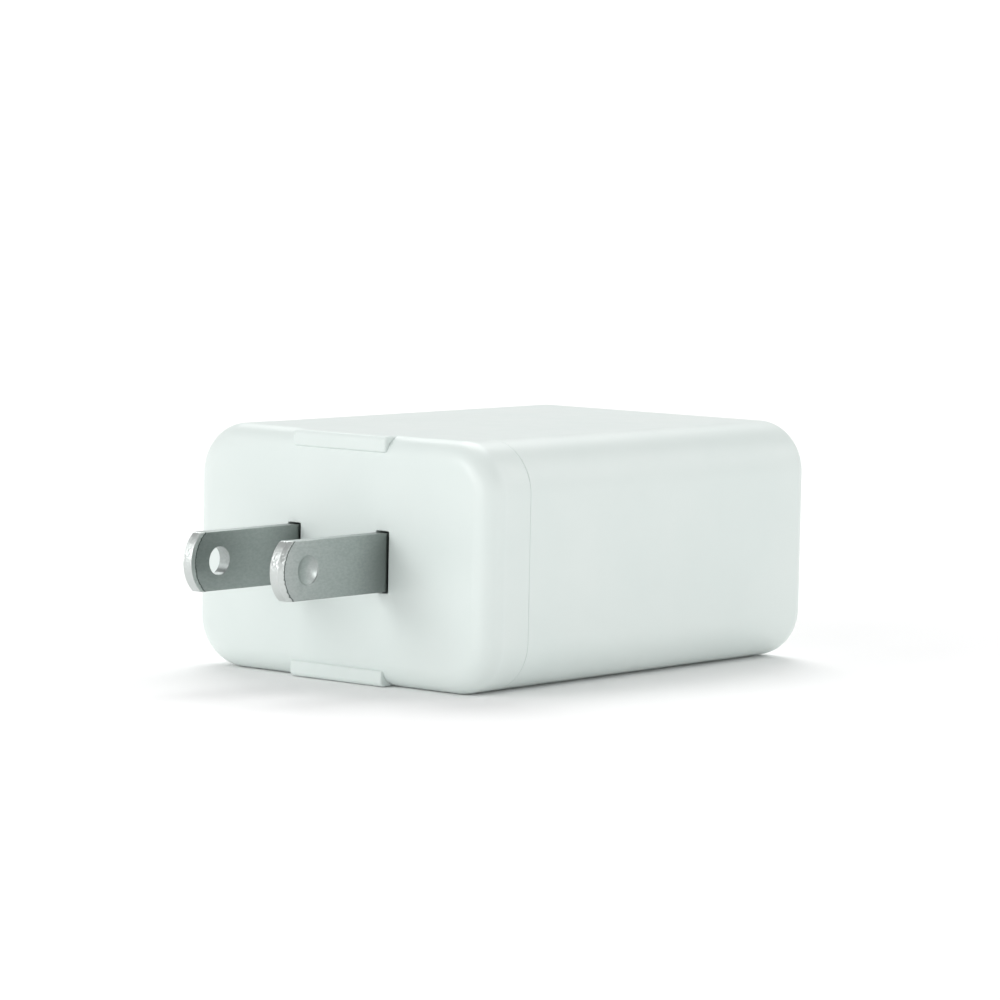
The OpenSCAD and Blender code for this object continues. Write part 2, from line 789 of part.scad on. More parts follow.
main_housing();
plug_cover();
line_blade();
neutral_blade();
blade_retainer();
line_contact_spring();
neutral_contact_spring();
main_board();
usb_board();
usb_shell_left();
usb_shell_right();
usb_tongue_left();
usb_tongue_right();
usb_contacts_left();
usb_contacts_right();
port_controller();
fuse();
x_capacitor();
y_capacitor();
choke_core();
choke_winding_front();
choke_winding_rear();
choke_base();
bridge_rectifier();
bulk_capacitor_can_left();
bulk_capacitor_can_right();
bulk_capacitor_sleeve_left();
bulk_capacitor_sleeve_right();
bulk_capacitor_bung_left();
bulk_capacitor_bung_right();
transformer_core_lower();
transformer_core_upper();
transformer_bobbin();
transformer_winding();
transformer_tape();
transformer_pins();
primary_controller();
synchronous_rectifier();
optocoupler();
output_capacitor_can_left();
output_capacitor_can_right();
output_capacitor_bung_left();
output_capacitor_bung_right();
heat_spreader();
thermal_pad();
insulation_sheet();
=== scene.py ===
"""The looks of a USB wall charger: welded two-part case, two fixed flat blades and two USB-A sockets."""

import logging
import math
from dataclasses import dataclass, field
from enum import Enum

import bmesh
import bpy
from bmesh.types import BMFace, BMVert
from bpy.types import Material, Mesh, Node, NodeSocket, NodeTree, Object
from mathutils import Matrix, Vector


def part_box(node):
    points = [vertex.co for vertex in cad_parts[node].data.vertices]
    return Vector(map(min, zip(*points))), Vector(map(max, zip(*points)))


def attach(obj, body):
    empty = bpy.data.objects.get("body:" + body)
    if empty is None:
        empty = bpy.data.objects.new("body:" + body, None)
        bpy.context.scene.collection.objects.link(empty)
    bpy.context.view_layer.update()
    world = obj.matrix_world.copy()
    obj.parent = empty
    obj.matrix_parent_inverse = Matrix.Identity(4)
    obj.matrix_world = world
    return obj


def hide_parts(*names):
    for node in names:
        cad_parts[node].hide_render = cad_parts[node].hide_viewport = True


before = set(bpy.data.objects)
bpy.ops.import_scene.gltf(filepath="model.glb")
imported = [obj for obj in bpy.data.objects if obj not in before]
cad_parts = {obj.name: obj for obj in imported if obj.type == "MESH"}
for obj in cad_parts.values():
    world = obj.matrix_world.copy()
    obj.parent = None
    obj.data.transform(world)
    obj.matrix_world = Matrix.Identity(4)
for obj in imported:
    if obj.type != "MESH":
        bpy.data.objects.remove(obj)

LOG = logging.getLogger("usb_wall_charger")
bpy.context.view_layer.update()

MM = 0.001              # one millimetre in metres
QUARTER = math.pi / 2
PLAY = 0.05             # gap between pieces that touch when assembled, in millimetres
LEAST_RADIUS = 0.004    # of a corner, so that a sharp one keeps its points
CORNER_SHARE = 0.45     # most of an edge that a softened corner takes up
BAR_SHARE = 0.49        # largest edge radius of a bar, as a share of its thinnest side
SHEET_SHARE = 0.2       # corner radius of sheet metal, as a share of its thickness
SHEET_EDGE = 0.06       # and the largest one along its long edges
WELD = 0.0005           # vertices this close are one
LEAD = 0.3              # radius of a through-hole lead
JOINT_TOP = 0.00028     # radius of a solder fillet where it meets the lead, in metres
JOINT_SPREAD = (0.85, 1.1)

# Spans of the noise that a finish's shades and gloss are spread over; the gloss is the coarser by this.
SHADE_SPAN = (0.35, 0.65)
GLOSS_SPAN = (0.3, 0.7)
GLOSS_COARSER = 4

# Through-hole leads in X and Y. The capacitors that stand on both sides have their middle and half the
# gap, the springs theirs on the right, and the transformer's pins their row's X and their pitch.
FUSE_LEADS = ((-2.5, 8.0), (2.5, 8.0))
LINE_LEADS = ((-13.65, 1.0), (-13.65, 10.6))
DISC_LEADS = ((-2.4, 0.6), (2.4, 0.6))
BULK_LEADS = (11.85, -7.0, 2.5)
OUTPUT_LEADS = (12.2, -16.9, 1.75)
SPRING_LEAD = (8.99, 10.1)
COIL_LEADS = (4.95, 3.0)

# Sockets by number, because each shares its name with sockets of other types: a Mix node's two colours
# and its mixed colour, its two vectors and its mixed vector, and a Random Value node's two numbers.
MIX_A = 6
MIX_B = 7
MIXED = 2
MIX_FROM = 4
MIX_TO = 5
MIXED_VECTOR = 1
RANDOM_LEAST = 2
RANDOM_MOST = 3

Point = tuple[float, float]
Colour = tuple[float, float, float, float]


class Slot(Enum):
    """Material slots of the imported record."""

    CASE = "case_plastic"
    BLADE = "blade_nickel"
    RETAINER = "retainer_plastic"
    SPRING = "spring_bronze"
    BOARD = "board_laminate"
    SHELL = "shell_steel"
    TONGUE = "tongue_plastic"
    CONTACT = "contact_gilt"
    CHIP = "chip_epoxy"
    FUSE = "fuse_cap"
    FILM_BOX = "film_box"
    DISC = "disc_epoxy"
    RING = "ring_coating"
    COPPER = "enamelled_copper"
    FOOT = "foot_plastic"
    CAN = "can_aluminium"
    SLEEVE = "sleeve_film"
    BUNG = "bung_rubber"
    FERRITE = "ferrite"
    BOBBIN = "bobbin_resin"
    TAPE = "tape_film"
    TIN = "pin_tin"
    SPREADER = "spreader_aluminium"
    PAD = "pad_silicone"
    SHEET = "sheet_film"


class Side(Enum):
    """Sides of the charger, seen facing the sockets."""

    LEFT = -1
    RIGHT = 1

    @property
    def word(self) -> str:
        """Lower-case name used in piece names."""
        return self.name.lower()


class Along(Enum):
    """Axis that a row of rings runs along."""

    X = "x"
    Y = "y"
    Z = "z"

    def point(self, u: float, v: float, at: float) -> Vector:
        """Point with the flat coordinates u and v at a station along the axis."""
        if self is Along.X:
            return Vector((at, u, v))
        if self is Along.Y:
            return Vector((u, at, v))
        return Vector((u, v, at))


# ---------- colour and nodes ----------


def linear(code: str) -> Colour:
    """Turn an sRGB hex colour to linear.

    Args:
        code: Six hex digits after a hash.

    Returns:
        Red, green, blue and alpha for a node's socket.
    """
    parts = [int(code[i:i + 2], 16) / 255 for i in (1, 3, 5)]
    red, green, blue = [c / 12.92 if c <= 0.04045 else ((c + 0.055) / 1.055) ** 2.4 for c in parts]
    return (red, green, blue, 1.0)


def add_node(tree: NodeTree, kind: str, settings: dict | None = None, inputs: dict | None = None) -> Node:
    """Add a node with its settings, values and links.

    Args:
        tree: Tree that takes the node.
        kind: Node type's identifier.
        settings: Attributes to set on the node.
        inputs: Values by input name or index; an output socket given as a value is linked.

    Returns:
        The new node.
    """
    node = tree.nodes.new(kind)
    for key, value in (settings or {}).items():
        setattr(node, key, value)
    for key, value in (inputs or {}).items():
        if isinstance(value, NodeSocket):
            tree.links.new(value, node.inputs[key])
        else:
            node.inputs[key].default_value = value
    return node


# ---------- finishes ----------


@dataclass(frozen=True)
class Finish:
    """A finish with soft patches of a second shade, uneven gloss and a fine grain.

    The pattern sizes are in millimetres. The stretch draws the grain out along an axis where the
    surface was drawn, rolled or brushed.
    """

    name: str
    colour: str
    shade: str
    roughness: float
    uneven: float = 0.04
    metallic: float = 0.0
    ior: float = 1.5
    patch_mm: float = 5.0
    grain_mm: float = 0.3
    depth_mm: float = 0.004
    stretch: tuple[float, float, float] = (1.0, 1.0, 1.0)
    coat: float = 0.0

    def build(self) -> Material:
        """Make the material.

        Returns:
            The finished material.
        """
        material = bpy.data.materials.new(self.name)
        material.use_nodes = True
        tree = material.node_tree
        tree.nodes.clear()
        shader = add_node(tree, "ShaderNodeBsdfPrincipled")
        add_node(tree, "ShaderNodeOutputMaterial", None, {"Surface": shader.outputs["BSDF"]})
        shader.inputs["Metallic"].default_value = self.metallic
        shader.inputs["Coat Weight"].default_value = self.coat
        if self.metallic == 0.0:
            shader.inputs["IOR"].default_value = self.ior
        place = add_node(tree, "ShaderNodeTexCoord").outputs["Object"]
        self.paint(tree, shader, place)
        return material

    def paint(self, tree: NodeTree, shader: Node, place: NodeSocket) -> None:
        """Link colour, gloss and grain to the shader.

        Args:
            tree: The material's tree.
            shader: Its shader.
            place: Object coordinates.
        """
        tree.links.new(self.patches(tree, place), shader.inputs["Base Color"])
        tree.links.new(self.gloss(tree, place), shader.inputs["Roughness"])
        tree.links.new(self.grain(tree, place), shader.inputs["Normal"])

    def noise(self, tree: NodeTree, place: NodeSocket, size_mm: float, detail: float = 3.0) -> NodeSocket:
        """Noise whose blobs are about as large as size_mm, drawn out by the stretch.

        Args:
            tree: The material's tree.
            place: Object coordinates.
            size_mm: Blob size in millimetres.
            detail: Octaves of finer noise.

        Returns:
            The noise's value.
        """
        drawn = add_node(tree, "ShaderNodeMapping", None, {"Vector": place, "Scale": self.stretch})
        node = add_node(tree, "ShaderNodeTexNoise", None, {
            "Vector": drawn.outputs["Vector"], "Scale": 1.0 / (size_mm * MM), "Detail": detail})
        return node.outputs["Fac"]

    def patches(self, tree: NodeTree, place: NodeSocket) -> NodeSocket:
        """Colour that wanders between the two shades."""
        ramp = add_node(tree, "ShaderNodeMapRange", None, {
            "Value": self.noise(tree, place, self.patch_mm), "From Min": SHADE_SPAN[0],
            "From Max": SHADE_SPAN[1]})
        return self.mixed(tree, ramp.outputs["Result"])

    def mixed(self, tree: NodeTree, share: NodeSocket) -> NodeSocket:
        """The finish's colour, with its second shade where share says."""
        node = add_node(tree, "ShaderNodeMix", {"data_type": "RGBA"}, {
            0: share, MIX_A: linear(self.colour), MIX_B: linear(self.shade)})
        return node.outputs[MIXED]

    def gloss(self, tree: NodeTree, place: NodeSocket) -> NodeSocket:
        """Roughness that varies a little about its middle."""
        node = add_node(tree, "ShaderNodeMapRange", None, {
            "Value": self.noise(tree, place, self.grain_mm * GLOSS_COARSER), "From Min": GLOSS_SPAN[0],
            "From Max": GLOSS_SPAN[1], "To Min": self.roughness - self.uneven,
            "To Max": self.roughness + self.uneven})
        return node.outputs["Result"]

    def grain(self, tree: NodeTree, place: NodeSocket) -> NodeSocket:
        """Fine relief of the surface."""
        node = add_node(tree, "ShaderNodeBump", None, {
            "Height": self.noise(tree, place, self.grain_mm), "Distance": self.depth_mm * MM,
            "Strength": 1.0})
        return node.outputs["Normal"]


@dataclass(frozen=True)
class CoinedNickelWithPaintedLight(Finish):
    """Coined nickel plate with a painted highlight on the tip and painted shade at its crease and root."""

    tip_y: float = 37.0
    tip_radius: float = 4.0
    bevel: float = 0.6
    middle_z: float = 13.5
    root_y: float = 20.0
    # Span about the root over which painted shade darkens the blade towards the case, in millimetres.
    root_shade_span: Point = (-1.5, 7.0)
    coined_long: float = 3.2
    edge: Point = (0.13, 0.2)
    ragged: float = 0.3
    pit_mm: float = 0.28
    pit_depth: float = 0.07
    # Painted highlight on the tip's bevel and end.
    tip_highlight: str = "#CDD2D0"
    # Painted shade towards the case.
    root_shade: str = "#7C8380"
    # Painted shade line along the bevel's crease, and how far short of the crease it starts.
    crease: str = "#5E6462"
    crease_shade_mm: float = 0.14

    # This mask places the coining pits, the painted highlight and the painted shade line at the crease.
    def coined(self, tree: NodeTree, place: NodeSocket, before: float = 0.0) -> NodeSocket:
        """One on the bevel and the end, nought on the flat, with a ragged edge along the tip's arc.

        Args:
            tree: The material's tree.
            place: Object coordinates.
            before: How far short of the crease it starts, in millimetres.

        Returns:
            The share.
        """
        centre = (0.0, (self.tip_y - self.tip_radius - self.bevel) * MM, self.middle_z * MM)
        flat = add_node(tree, "ShaderNodeVectorMath", {"operation": "MULTIPLY"}, {
            0: place, 1: (0.0, 1.0, 1.0)}).outputs["Vector"]
        away = add_node(tree, "ShaderNodeVectorMath", {"operation": "DISTANCE"}, {0: flat, 1: centre})
        ragged = add_node(tree, "ShaderNodeMath", {"operation": "MULTIPLY_ADD"}, {
            0: self.noise(tree, place, self.pit_mm), 1: self.ragged * MM, 2: away.outputs["Value"]})
        step = add_node(tree, "ShaderNodeMapRange", None, {
            "Value": ragged.outputs["Value"], "From Min": (self.tip_radius + self.edge[0] - before) * MM,
            "From Max": (self.tip_radius + self.edge[1] - before) * MM})
        past = add_node(tree, "ShaderNodeMath", {"operation": "GREATER_THAN"}, {
            0: add_node(tree, "ShaderNodeSeparateXYZ", None, {"Vector": place}).outputs["Y"],
            1: (self.tip_y - self.coined_long) * MM})
        return add_node(tree, "ShaderNodeMath", {"operation": "MULTIPLY"}, {
            0: step.outputs["Result"], 1: past.outputs["Value"]}).outputs["Value"]

    def patches(self, tree: NodeTree, place: NodeSocket) -> NodeSocket:
        """Streaked grey, painted with a shade line at the crease, a highlight past it and shade by the
        case.
        """
        streaked = super().patches(tree, place)
        station = add_node(tree, "ShaderNodeSeparateXYZ", None, {"Vector": place}).outputs["Y"]
        unshaded = add_node(tree, "ShaderNodeMapRange", {"interpolation_type": "SMOOTHSTEP"}, {
            "Value": station, "From Min": (self.root_y + self.root_shade_span[0]) * MM,
            "From Max": (self.root_y + self.root_shade_span[1]) * MM})
        colour = add_node(tree, "ShaderNodeMix", {"data_type": "RGBA"}, {
            0: unshaded.outputs["Result"], MIX_A: linear(self.root_shade), MIX_B: streaked}).outputs[MIXED]
        # A painted shade line along the crease, then a painted highlight over the bevel and the end.
        for before, code in ((self.crease_shade_mm, self.crease), (0.0, self.tip_highlight)):
            colour = add_node(tree, "ShaderNodeMix", {"data_type": "RGBA"}, {
                0: self.coined(tree, place, before), MIX_A: colour, MIX_B: linear(code)}).outputs[MIXED]
        return colour

    def grain(self, tree: NodeTree, place: NodeSocket) -> NodeSocket:
        """Fine grain all over, with shallow pits where the tip was coined."""
        pits = add_node(tree, "ShaderNodeMath", {"operation": "MULTIPLY"}, {
            0: self.noise(tree, place, self.pit_mm, 2.0),
            1: self.coined(tree, place)})
        coined = add_node(tree, "ShaderNodeBump", None, {
            "Height": pits.outputs["Value"], "Distance": self.pit_depth * MM, "Strength": 1.0})
        fine = add_node(tree, "ShaderNodeBump", None, {
            "Height": self.noise(tree, place, self.grain_mm), "Distance": self.depth_mm * MM,
            "Strength": 1.0, "Normal": coined.outputs["Normal"]})
        return fine.outputs["Normal"]


# ---------- outlines ----------


def rounded_outline(width: float, height: float, radii: float | tuple[float, float, float, float],
                    steps: int) -> list[Point]:
    """Rectangle with rounded corners, anticlockwise about the origin.

    Args:
        width: First size.
        height: Second size.
        radii: One radius, or four for the corners ++, -+, -- and +-.
        steps: Facets in each corner.

    Returns:
        The outline's points, the same number for every radius.
    """
    four = radii if isinstance(radii, tuple) else (radii,) * 4
    points = []
    for turn, (sign_u, sign_v) in enumerate(((1, 1), (-1, 1), (-1, -1), (1, -1))):
        radius = max(four[turn], LEAST_RADIUS)
        for i in range(steps + 1):
            angle = QUARTER * (turn + i / steps)
            points.append((sign_u * (width / 2 - radius) + radius * math.cos(angle),
                           sign_v * (height / 2 - radius) + radius * math.sin(angle)))
    return points


def inset_outline(points: list[Point], depth: float) -> list[Point]:
    """Move an anticlockwise outline inwards, mitred at its corners.

    Args:
        points: The outline.
        depth: How far it moves.

    Returns:
        The moved outline, point for point.
    """
    moved = []
    count = len(points)
    for i, here in enumerate(points):
        before = Vector(here) - Vector(points[i - 1])
        after = Vector(points[(i + 1) % count]) - Vector(here)
        before.normalize()
        after.normalize()
        across = Vector((-before.y - after.y, before.x + after.x))
        shift = across * (2 * depth / across.length_squared)
        moved.append((here[0] + shift.x, here[1] + shift.y))
    return moved


def softened(points: list[Point], radius: float, steps: int = 4, least_turn: float = 0.3) -> list[Point]:
    """Round the sharp corners of an anticlockwise outline.

    Args:
        points: The outline.
        radius: Radius of each rounded corner.
        steps: Facets in each rounded corner.
        least_turn: Corners that turn by less than this, in radians, are left as they are.

    Returns:
        The outline with its corners rounded.
    """
    soft = []
    count = len(points)
    for i, here in enumerate(points):
        corner = Vector(here)
        back = Vector(points[i - 1]) - corner
        ahead = Vector(points[(i + 1) % count]) - corner
        turn = math.pi - back.angle(ahead)
        if turn < least_turn:
            soft.append(here)
            continue
        reach = min(radius * math.tan(turn / 2), CORNER_SHARE * back.length, CORNER_SHARE * ahead.length)
        start = corner + back.normalized() * reach
        end = corner + ahead.normalized() * reach
        for k in range(steps + 1):
            t = k / steps
            blend = start * (1 - t) ** 2 + corner * 2 * t * (1 - t) + end * t ** 2
            soft.append((blend.x, blend.y))
    return soft


def fillet(radius: float, end: float, inward: int, steps: int, base: float = 0.0) -> list[Point]:
    """Insets and stations of a rounded edge, from the side wall to the end face.

    Args:
        radius: Radius of the edge.
        end: Station of the end face.
        inward: Direction along the axis from the end face into the body, 1 or -1.
        steps: Facets in the quarter turn.
        base: Inset of the side wall.

    Returns:
        Pairs of inset and station.
    """
    pairs = []
    for i in range(steps + 1):
        angle = QUARTER * i / steps
        pairs.append((base + radius * (1 - math.cos(angle)), end + inward * radius * (1 - math.sin(angle))))
    return pairs


# ---------- meshes ----------


class Skin:
    """A mesh in the making, in millimetres, built mostly from rings with equal counts."""

    def __init__(self) -> None:
        """Start empty."""
        self.bm = bmesh.new()

    def ring(self, points: list[Vector]) -> list[BMVert]:
        """Add the vertices of one ring."""
        return [self.bm.verts.new(p) for p in points]

    def bridge(self, first: list[BMVert], second: list[BMVert], material: int = 0) -> None:
        """Join two rings with quads.

        Args:
            first: One ring.
            second: The next ring, with the same count.
            material: Material index of the new faces.
        """
        count = len(first)
        for i in range(count):
            j = (i + 1) % count
            face = self.bm.faces.new((first[i], first[j], second[j], second[i]))
            face.material_index = material

    def tube(self, rings: list[list[Vector]], material: int = 0) -> tuple[list, list]:
        """Join a row of rings.

        Args:
            rings: Points of each ring in turn.
            material: Material index of the new faces.

        Returns:
            The vertices of the first and the last ring.
        """
        rows = [self.ring(points) for points in rings]
        for near, far in zip(rows, rows[1:]):
            self.bridge(near, far, material)
        return rows[0], rows[-1]

    def fill(self, outer: list, holes: list[list] | None = None, material: int = 0) -> None:
        """Close a flat area inside a ring, leaving its holes open.

        Args:
            outer: Ring around the area.
            holes: Rings around the holes.
            material: Material index of the new faces.
        """
        if not holes:
            self.bm.faces.new(outer).material_index = material
            return
        edges = []
        for loop in [outer] + holes:
            for i, vert in enumerate(loop):
                pair = (loop[i - 1], vert)
                edges.append(self.bm.edges.get(pair) or self.bm.edges.new(pair))
        made = bmesh.ops.triangle_fill(self.bm, use_beauty=True, edges=edges)
        for item in made["geom"]:
            if isinstance(item, BMFace):
                item.material_index = material

    def bar(self, lo: tuple[float, float, float], hi: tuple[float, float, float], edge: float,
            material: int = 0, steps: int = 2) -> None:
        """Add a closed bar whose edges are all rounded.

        Args:
            lo: Lowest corner.
            hi: Highest corner.
            edge: Radius of its edges.
            material: Material index of its faces.
            steps: Facets in each rounded edge.
        """
        sizes = [h - l for l, h in zip(lo, hi)]
        middle = [(l + h) / 2 for l, h in zip(lo, hi)]
        radius = min(edge, BAR_SHARE * min(sizes))
        stations = fillet(radius, lo[2], 1, steps)[::-1] + fillet(radius, hi[2], -1, steps)
        rings = []
        for inset, z in stations:
            flat = rounded_outline(sizes[0] - 2 * inset, sizes[1] - 2 * inset, radius - inset, steps)
            rings.append([Vector((middle[0] + u, middle[1] + v, z)) for u, v in flat])
        first, last = self.tube(rings, material)
        self.fill(first, None, material)
        self.fill(last, None, material)

    def lathe(self, profile: list[Point], centre: Vector, along: Along, steps: int = 48,
              material: int = 0, loop: bool = False) -> None:
        """Turn a profile of radii and stations about an axis; a radius of nought closes an end.

        Args:
            profile: Pairs of radius and station from the centre.
            centre: Point on the axis that the stations count from.
            along: The axis.
            steps: Facets around.
            material: Material index of its faces.
            loop: Whether the profile is a closed loop clear of the axis.
        """
        rings = []
        for radius, station in profile:
            circle = [(radius * math.cos(math.tau * i / steps), radius * math.sin(math.tau * i / steps))
                      for i in range(steps)]
            rings.append([centre + along.point(u, v, station) for u, v in circle])
        first, last = self.tube(rings, material)
        if loop:
            self.bridge(last, first, material)
            return
        for ring, radius in ((first, profile[0][0]), (last, profile[-1][0])):
            if radius > 0:
                self.fill(ring, None, material)

    def lead(self, at: Vector, lo: float, hi: float) -> None:
        """Add a round lead in the second material, between two heights above a point."""
        self.lathe([(0.0, lo), (LEAD, lo), (LEAD, hi), (0.0, hi)], at, Along.Z, 16, 1)

    def strip(self, path: list[Point], thick: float, lo: float, hi: float, along: Along,
              material: int = 0) -> None:
        """Add a bent strip of sheet metal.

        Args:
            path: Middle line of the strip, in the two axes across its width.
            thick: Thickness of the sheet.
            lo: Lower edge along the axis.
            hi: Upper edge along the axis.
            along: Axis of its width.
            material: Material index of its faces.
        """
        near, far = [], []
        for i, here in enumerate(path):
            before = Vector(path[max(i, 1)]) - Vector(path[max(i, 1) - 1])
            after = Vector(path[min(i + 1, len(path) - 1)]) - Vector(path[min(i, len(path) - 2)])
            total = before.normalized() + after.normalized()
            across = Vector((-total.y, total.x)) * (thick / total.length_squared)
            near.append((here[0] + across.x, here[1] + across.y))
            far.append((here[0] - across.x, here[1] - across.y))
        outline = softened(near + far[::-1], thick * SHEET_SHARE, 2, 1.0)
        edge = min(thick * SHEET_SHARE, SHEET_EDGE)
        rings = []
        for inset, at in ((edge, lo), (0.0, lo + edge), (0.0, hi - edge), (edge, hi)):
            flat = inset_outline(outline, inset * winding(outline)) if inset else outline
            rings.append([along.point(u, v, at) for u, v in flat])
        first, last = self.tube(rings, material)
        self.fill(first, None, material)
        self.fill(last, None, material)

    def shift(self, place: Matrix) -> None:
        """Turn and move the whole skin."""
        bmesh.ops.transform(self.bm, matrix=place, verts=self.bm.verts)

    def plain(self, name: str, materials: list[Material]) -> Object:
        """Turn the skin into an object in metres, with closed seams and outward faces."""
        bm = self.bm
        bmesh.ops.remove_doubles(bm, verts=bm.verts, dist=WELD)
        bmesh.ops.dissolve_degenerate(bm, dist=1e-5, edges=bm.edges)
        bmesh.ops.recalc_face_normals(bm, faces=bm.faces)
        bmesh.ops.scale(bm, vec=(MM, MM, MM), verts=bm.verts)
        mesh = bpy.data.meshes.new(name)
        bm.to_mesh(mesh)
        bm.free()
        for material in materials:
            mesh.materials.append(material)
        thing = bpy.data.objects.new(name, mesh)
        bpy.context.scene.collection.objects.link(thing)
        return thing

    def piece(self, name: str, materials: list[Material], crease: float = 32.0,
              cutter: "Skin | None" = None) -> Object:
        """Turn the skin into a finished object, smooth but for its sharp edges.

        Args:
            name: The object's name.
            materials: Its materials.
            crease: Edges that bend by more than this many degrees stay sharp.
            cutter: Skin whose inside is cut away.

        Returns:
            The object, at the origin, with its place in its mesh.
        """
        thing = self.plain(name, materials)
        if cutter:
            tool = cutter.plain(name + "_cutter", [])
            cut = thing.modifiers.new("cut", "BOOLEAN")
            cut.object = tool
            cut.solver = "EXACT"
            settle(thing)
            bpy.data.objects.remove(tool)
        mark_creases(thing.data, crease)
        weigh = thing.modifiers.new("weigh", "WEIGHTED_NORMAL")
        weigh.keep_sharp = True
        weigh.weight = 80
        settle(thing)
        return thing


def mark_creases(mesh: Mesh, crease: float) -> None:
    """Shade a mesh smooth, but for the edges that bend by more than crease degrees.

    Args:
        mesh: The mesh.
        crease: The angle in degrees.
    """
    bm = bmesh.new()
    bm.from_mesh(mesh)
    for face in bm.faces:
        face.smooth = True
    for edge in bm.edges:
        if len(edge.link_faces) == 2:
            edge.smooth = edge.calc_face_angle(0.0) <= math.radians(crease)
    bm.to_mesh(mesh)
    bm.free()


def winding(points: list[Point]) -> int:
    """One for an anticlockwise outline, minus one for a clockwise one."""
    area = sum(a[0] * b[1] - b[0] * a[1] for a, b in zip(points, points[1:] + points[:1]))
    return 1 if area > 0 else -1


def settle(thing: Object) -> None:
    """Turn what an object's modifiers make into its plain mesh, and remove the modifiers.

    Args:
        thing: The object, which keeps its name.
    """
    graph = bpy.context.evaluated_depsgraph_get()
    plain = bpy.data.meshes.new_from_object(thing.evaluated_get(graph))
    plain.name = thing.name
    spare = thing.data
    thing.modifiers.clear()
    thing.data = plain
    if spare.users == 0:
        (bpy.data.meshes if isinstance(spare, Mesh) else bpy.data.curves).remove(spare)


def joined(thing: Object, *others: Object) -> Object:
    """Join finished objects into the first, keeping their shading.

    Args:
        thing: The object that stays.
        others: Objects that become part of it.

    Returns:
        The joined object.
    """
    with bpy.context.temp_override(active_object=thing, selected_editable_objects=[thing, *others]):
        bpy.ops.object.join()
    return thing


def curved(points: list[Point], steps: int) -> list[Point]:
    """Smooth line that starts and ends at the ends of a bent one.

    Args:
        points: The bent line.
        steps: Facets at each bend.

    Returns:
        The smooth line.
    """
    line = [points[0]]
    for before, here, after in zip(points, points[1:], points[2:]):
        start = (Vector(before) + Vector(here)) / 2
        end = (Vector(here) + Vector(after)) / 2
        for k in range(steps + 1):
            t = k / steps
            spot = start * (1 - t) ** 2 + Vector(here) * 2 * t * (1 - t) + end * t ** 2
            line.append((spot.x, spot.y))
    line.append(points[-1])
    kept = [line[0]]
    for spot in line[1:]:
        if (Vector(spot) - Vector(kept[-1])).length > 1e-4:
            kept.append(spot)
    return kept


def mount(piece: Object, slot: Slot, *nodes: str) -> None:
    """Fix a piece to the charger's frame, hide the CAD nodes that it stands for, and report it.

    Args:
        piece: The finished piece.
        slot: Not used.
        nodes: CAD nodes that it stands for.
    """
    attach(piece, "root")
    if nodes:
        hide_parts(*nodes)
    LOG.info("%s: %d faces, stands for %s", piece.name, len(piece.data.polygons), nodes or "nothing")


def dress(node: str, material: Material) -> None:
    """Give a carried-over CAD node its finish, and report it.

    Args:
        node: The node's name.
        material: Its finish.
    """
    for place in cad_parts[node].material_slots:
        place.material = material
    LOG.info("%s: carried over in %s", node, material.name)


def cad_box(node: str) -> tuple[Vector, Vector]:
    """Lowest and highest corner of a CAD node in millimetres."""
    lo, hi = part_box(node)
    return lo / MM, hi / MM


# ---------- coils ----------


# What winds the wire: each row names a result, the operation and its terms, which are numbers, inputs
# or earlier results. The section is a circle squared off by SQUARED.
STEPS_A_TURN = 28.0
SQUARED = 0.4
WIRE_SIDES = 8
WINDING = (
    ("Steps", "MULTIPLY", "Turns", STEPS_A_TURN),
    ("Turned", "MULTIPLY", "Part", "Turns"),
    ("Turn", "MULTIPLY", "Turned", math.tau),
    ("Cosine", "COSINE", "Turn"),
    ("Cosine Size", "ABSOLUTE", "Cosine"),
    ("Cosine Squared Off", "POWER", "Cosine Size", SQUARED),
    ("Cosine Sign", "SIGN", "Cosine"),
    ("Deep Share", "MULTIPLY", "Cosine Sign", "Cosine Squared Off"),
    ("Deep", "MULTIPLY", "Deep Share", "Half Deep"),
    ("Sine", "SINE", "Turn"),
    ("Sine Size", "ABSOLUTE", "Sine"),
    ("Sine Squared Off", "POWER", "Sine Size", SQUARED),
    ("Sine Sign", "SIGN", "Sine"),
    ("Wide Share", "MULTIPLY", "Sine Sign", "Sine Squared Off"),
    ("Wide", "MULTIPLY", "Wide Share", "Half Wide"),
    ("Angle", "MULTIPLY_ADD", "Part", "Sweep", "Start"),
    ("Angle Cosine", "COSINE", "Angle"),
    ("Angle Sine", "SINE", "Angle"),
    ("Radius", "ADD", "Ring Radius", "Deep"),
    ("Ring X", "MULTIPLY", "Radius", "Angle Cosine"),
    ("Ring Y", "MULTIPLY", "Radius", "Angle Sine"),
    ("Height", "MULTIPLY", "Part", "Climb"),
    ("Ringed", "GREATER_THAN", "Sweep", 0.0),
)


def open_tree(name: str, inputs: tuple[tuple[str, str, float | None], ...]) -> tuple[NodeTree, dict]:
    """Start a Geometry Nodes tree with named inputs.

    Args:
        name: The tree's name.
        inputs: Name, kind and default value of each input.

    Returns:
        The tree, and its inputs' sockets by name.
    """
    tree = bpy.data.node_groups.new(name, "GeometryNodeTree")
    tree.interface.new_socket("Geometry", in_out="OUTPUT", socket_type="NodeSocketGeometry")
    for label, kind, value in inputs:
        socket = tree.interface.new_socket(label, in_out="INPUT", socket_type="NodeSocket" + kind)
        if value is not None:
            socket.default_value = value
    given = tree.nodes.new("NodeGroupInput").outputs
    return tree, {label: given[label] for label, _, _ in inputs}


def close_tree(tree: NodeTree, mesh: NodeSocket, finish: NodeSocket) -> None:
    """Make a tree's instances real, give them their finish and hand them out.

    Args:
        tree: The tree.
        mesh: What it has made.
        finish: The finish.
    """
    real = add_node(tree, "GeometryNodeRealizeInstances", None, {"Geometry": mesh})
    done = add_node(tree, "GeometryNodeSetMaterial", None, {
        "Geometry": real.outputs["Geometry"], "Material": finish})
    add_node(tree, "NodeGroupOutput", None, {"Geometry": done.outputs["Geometry"]})


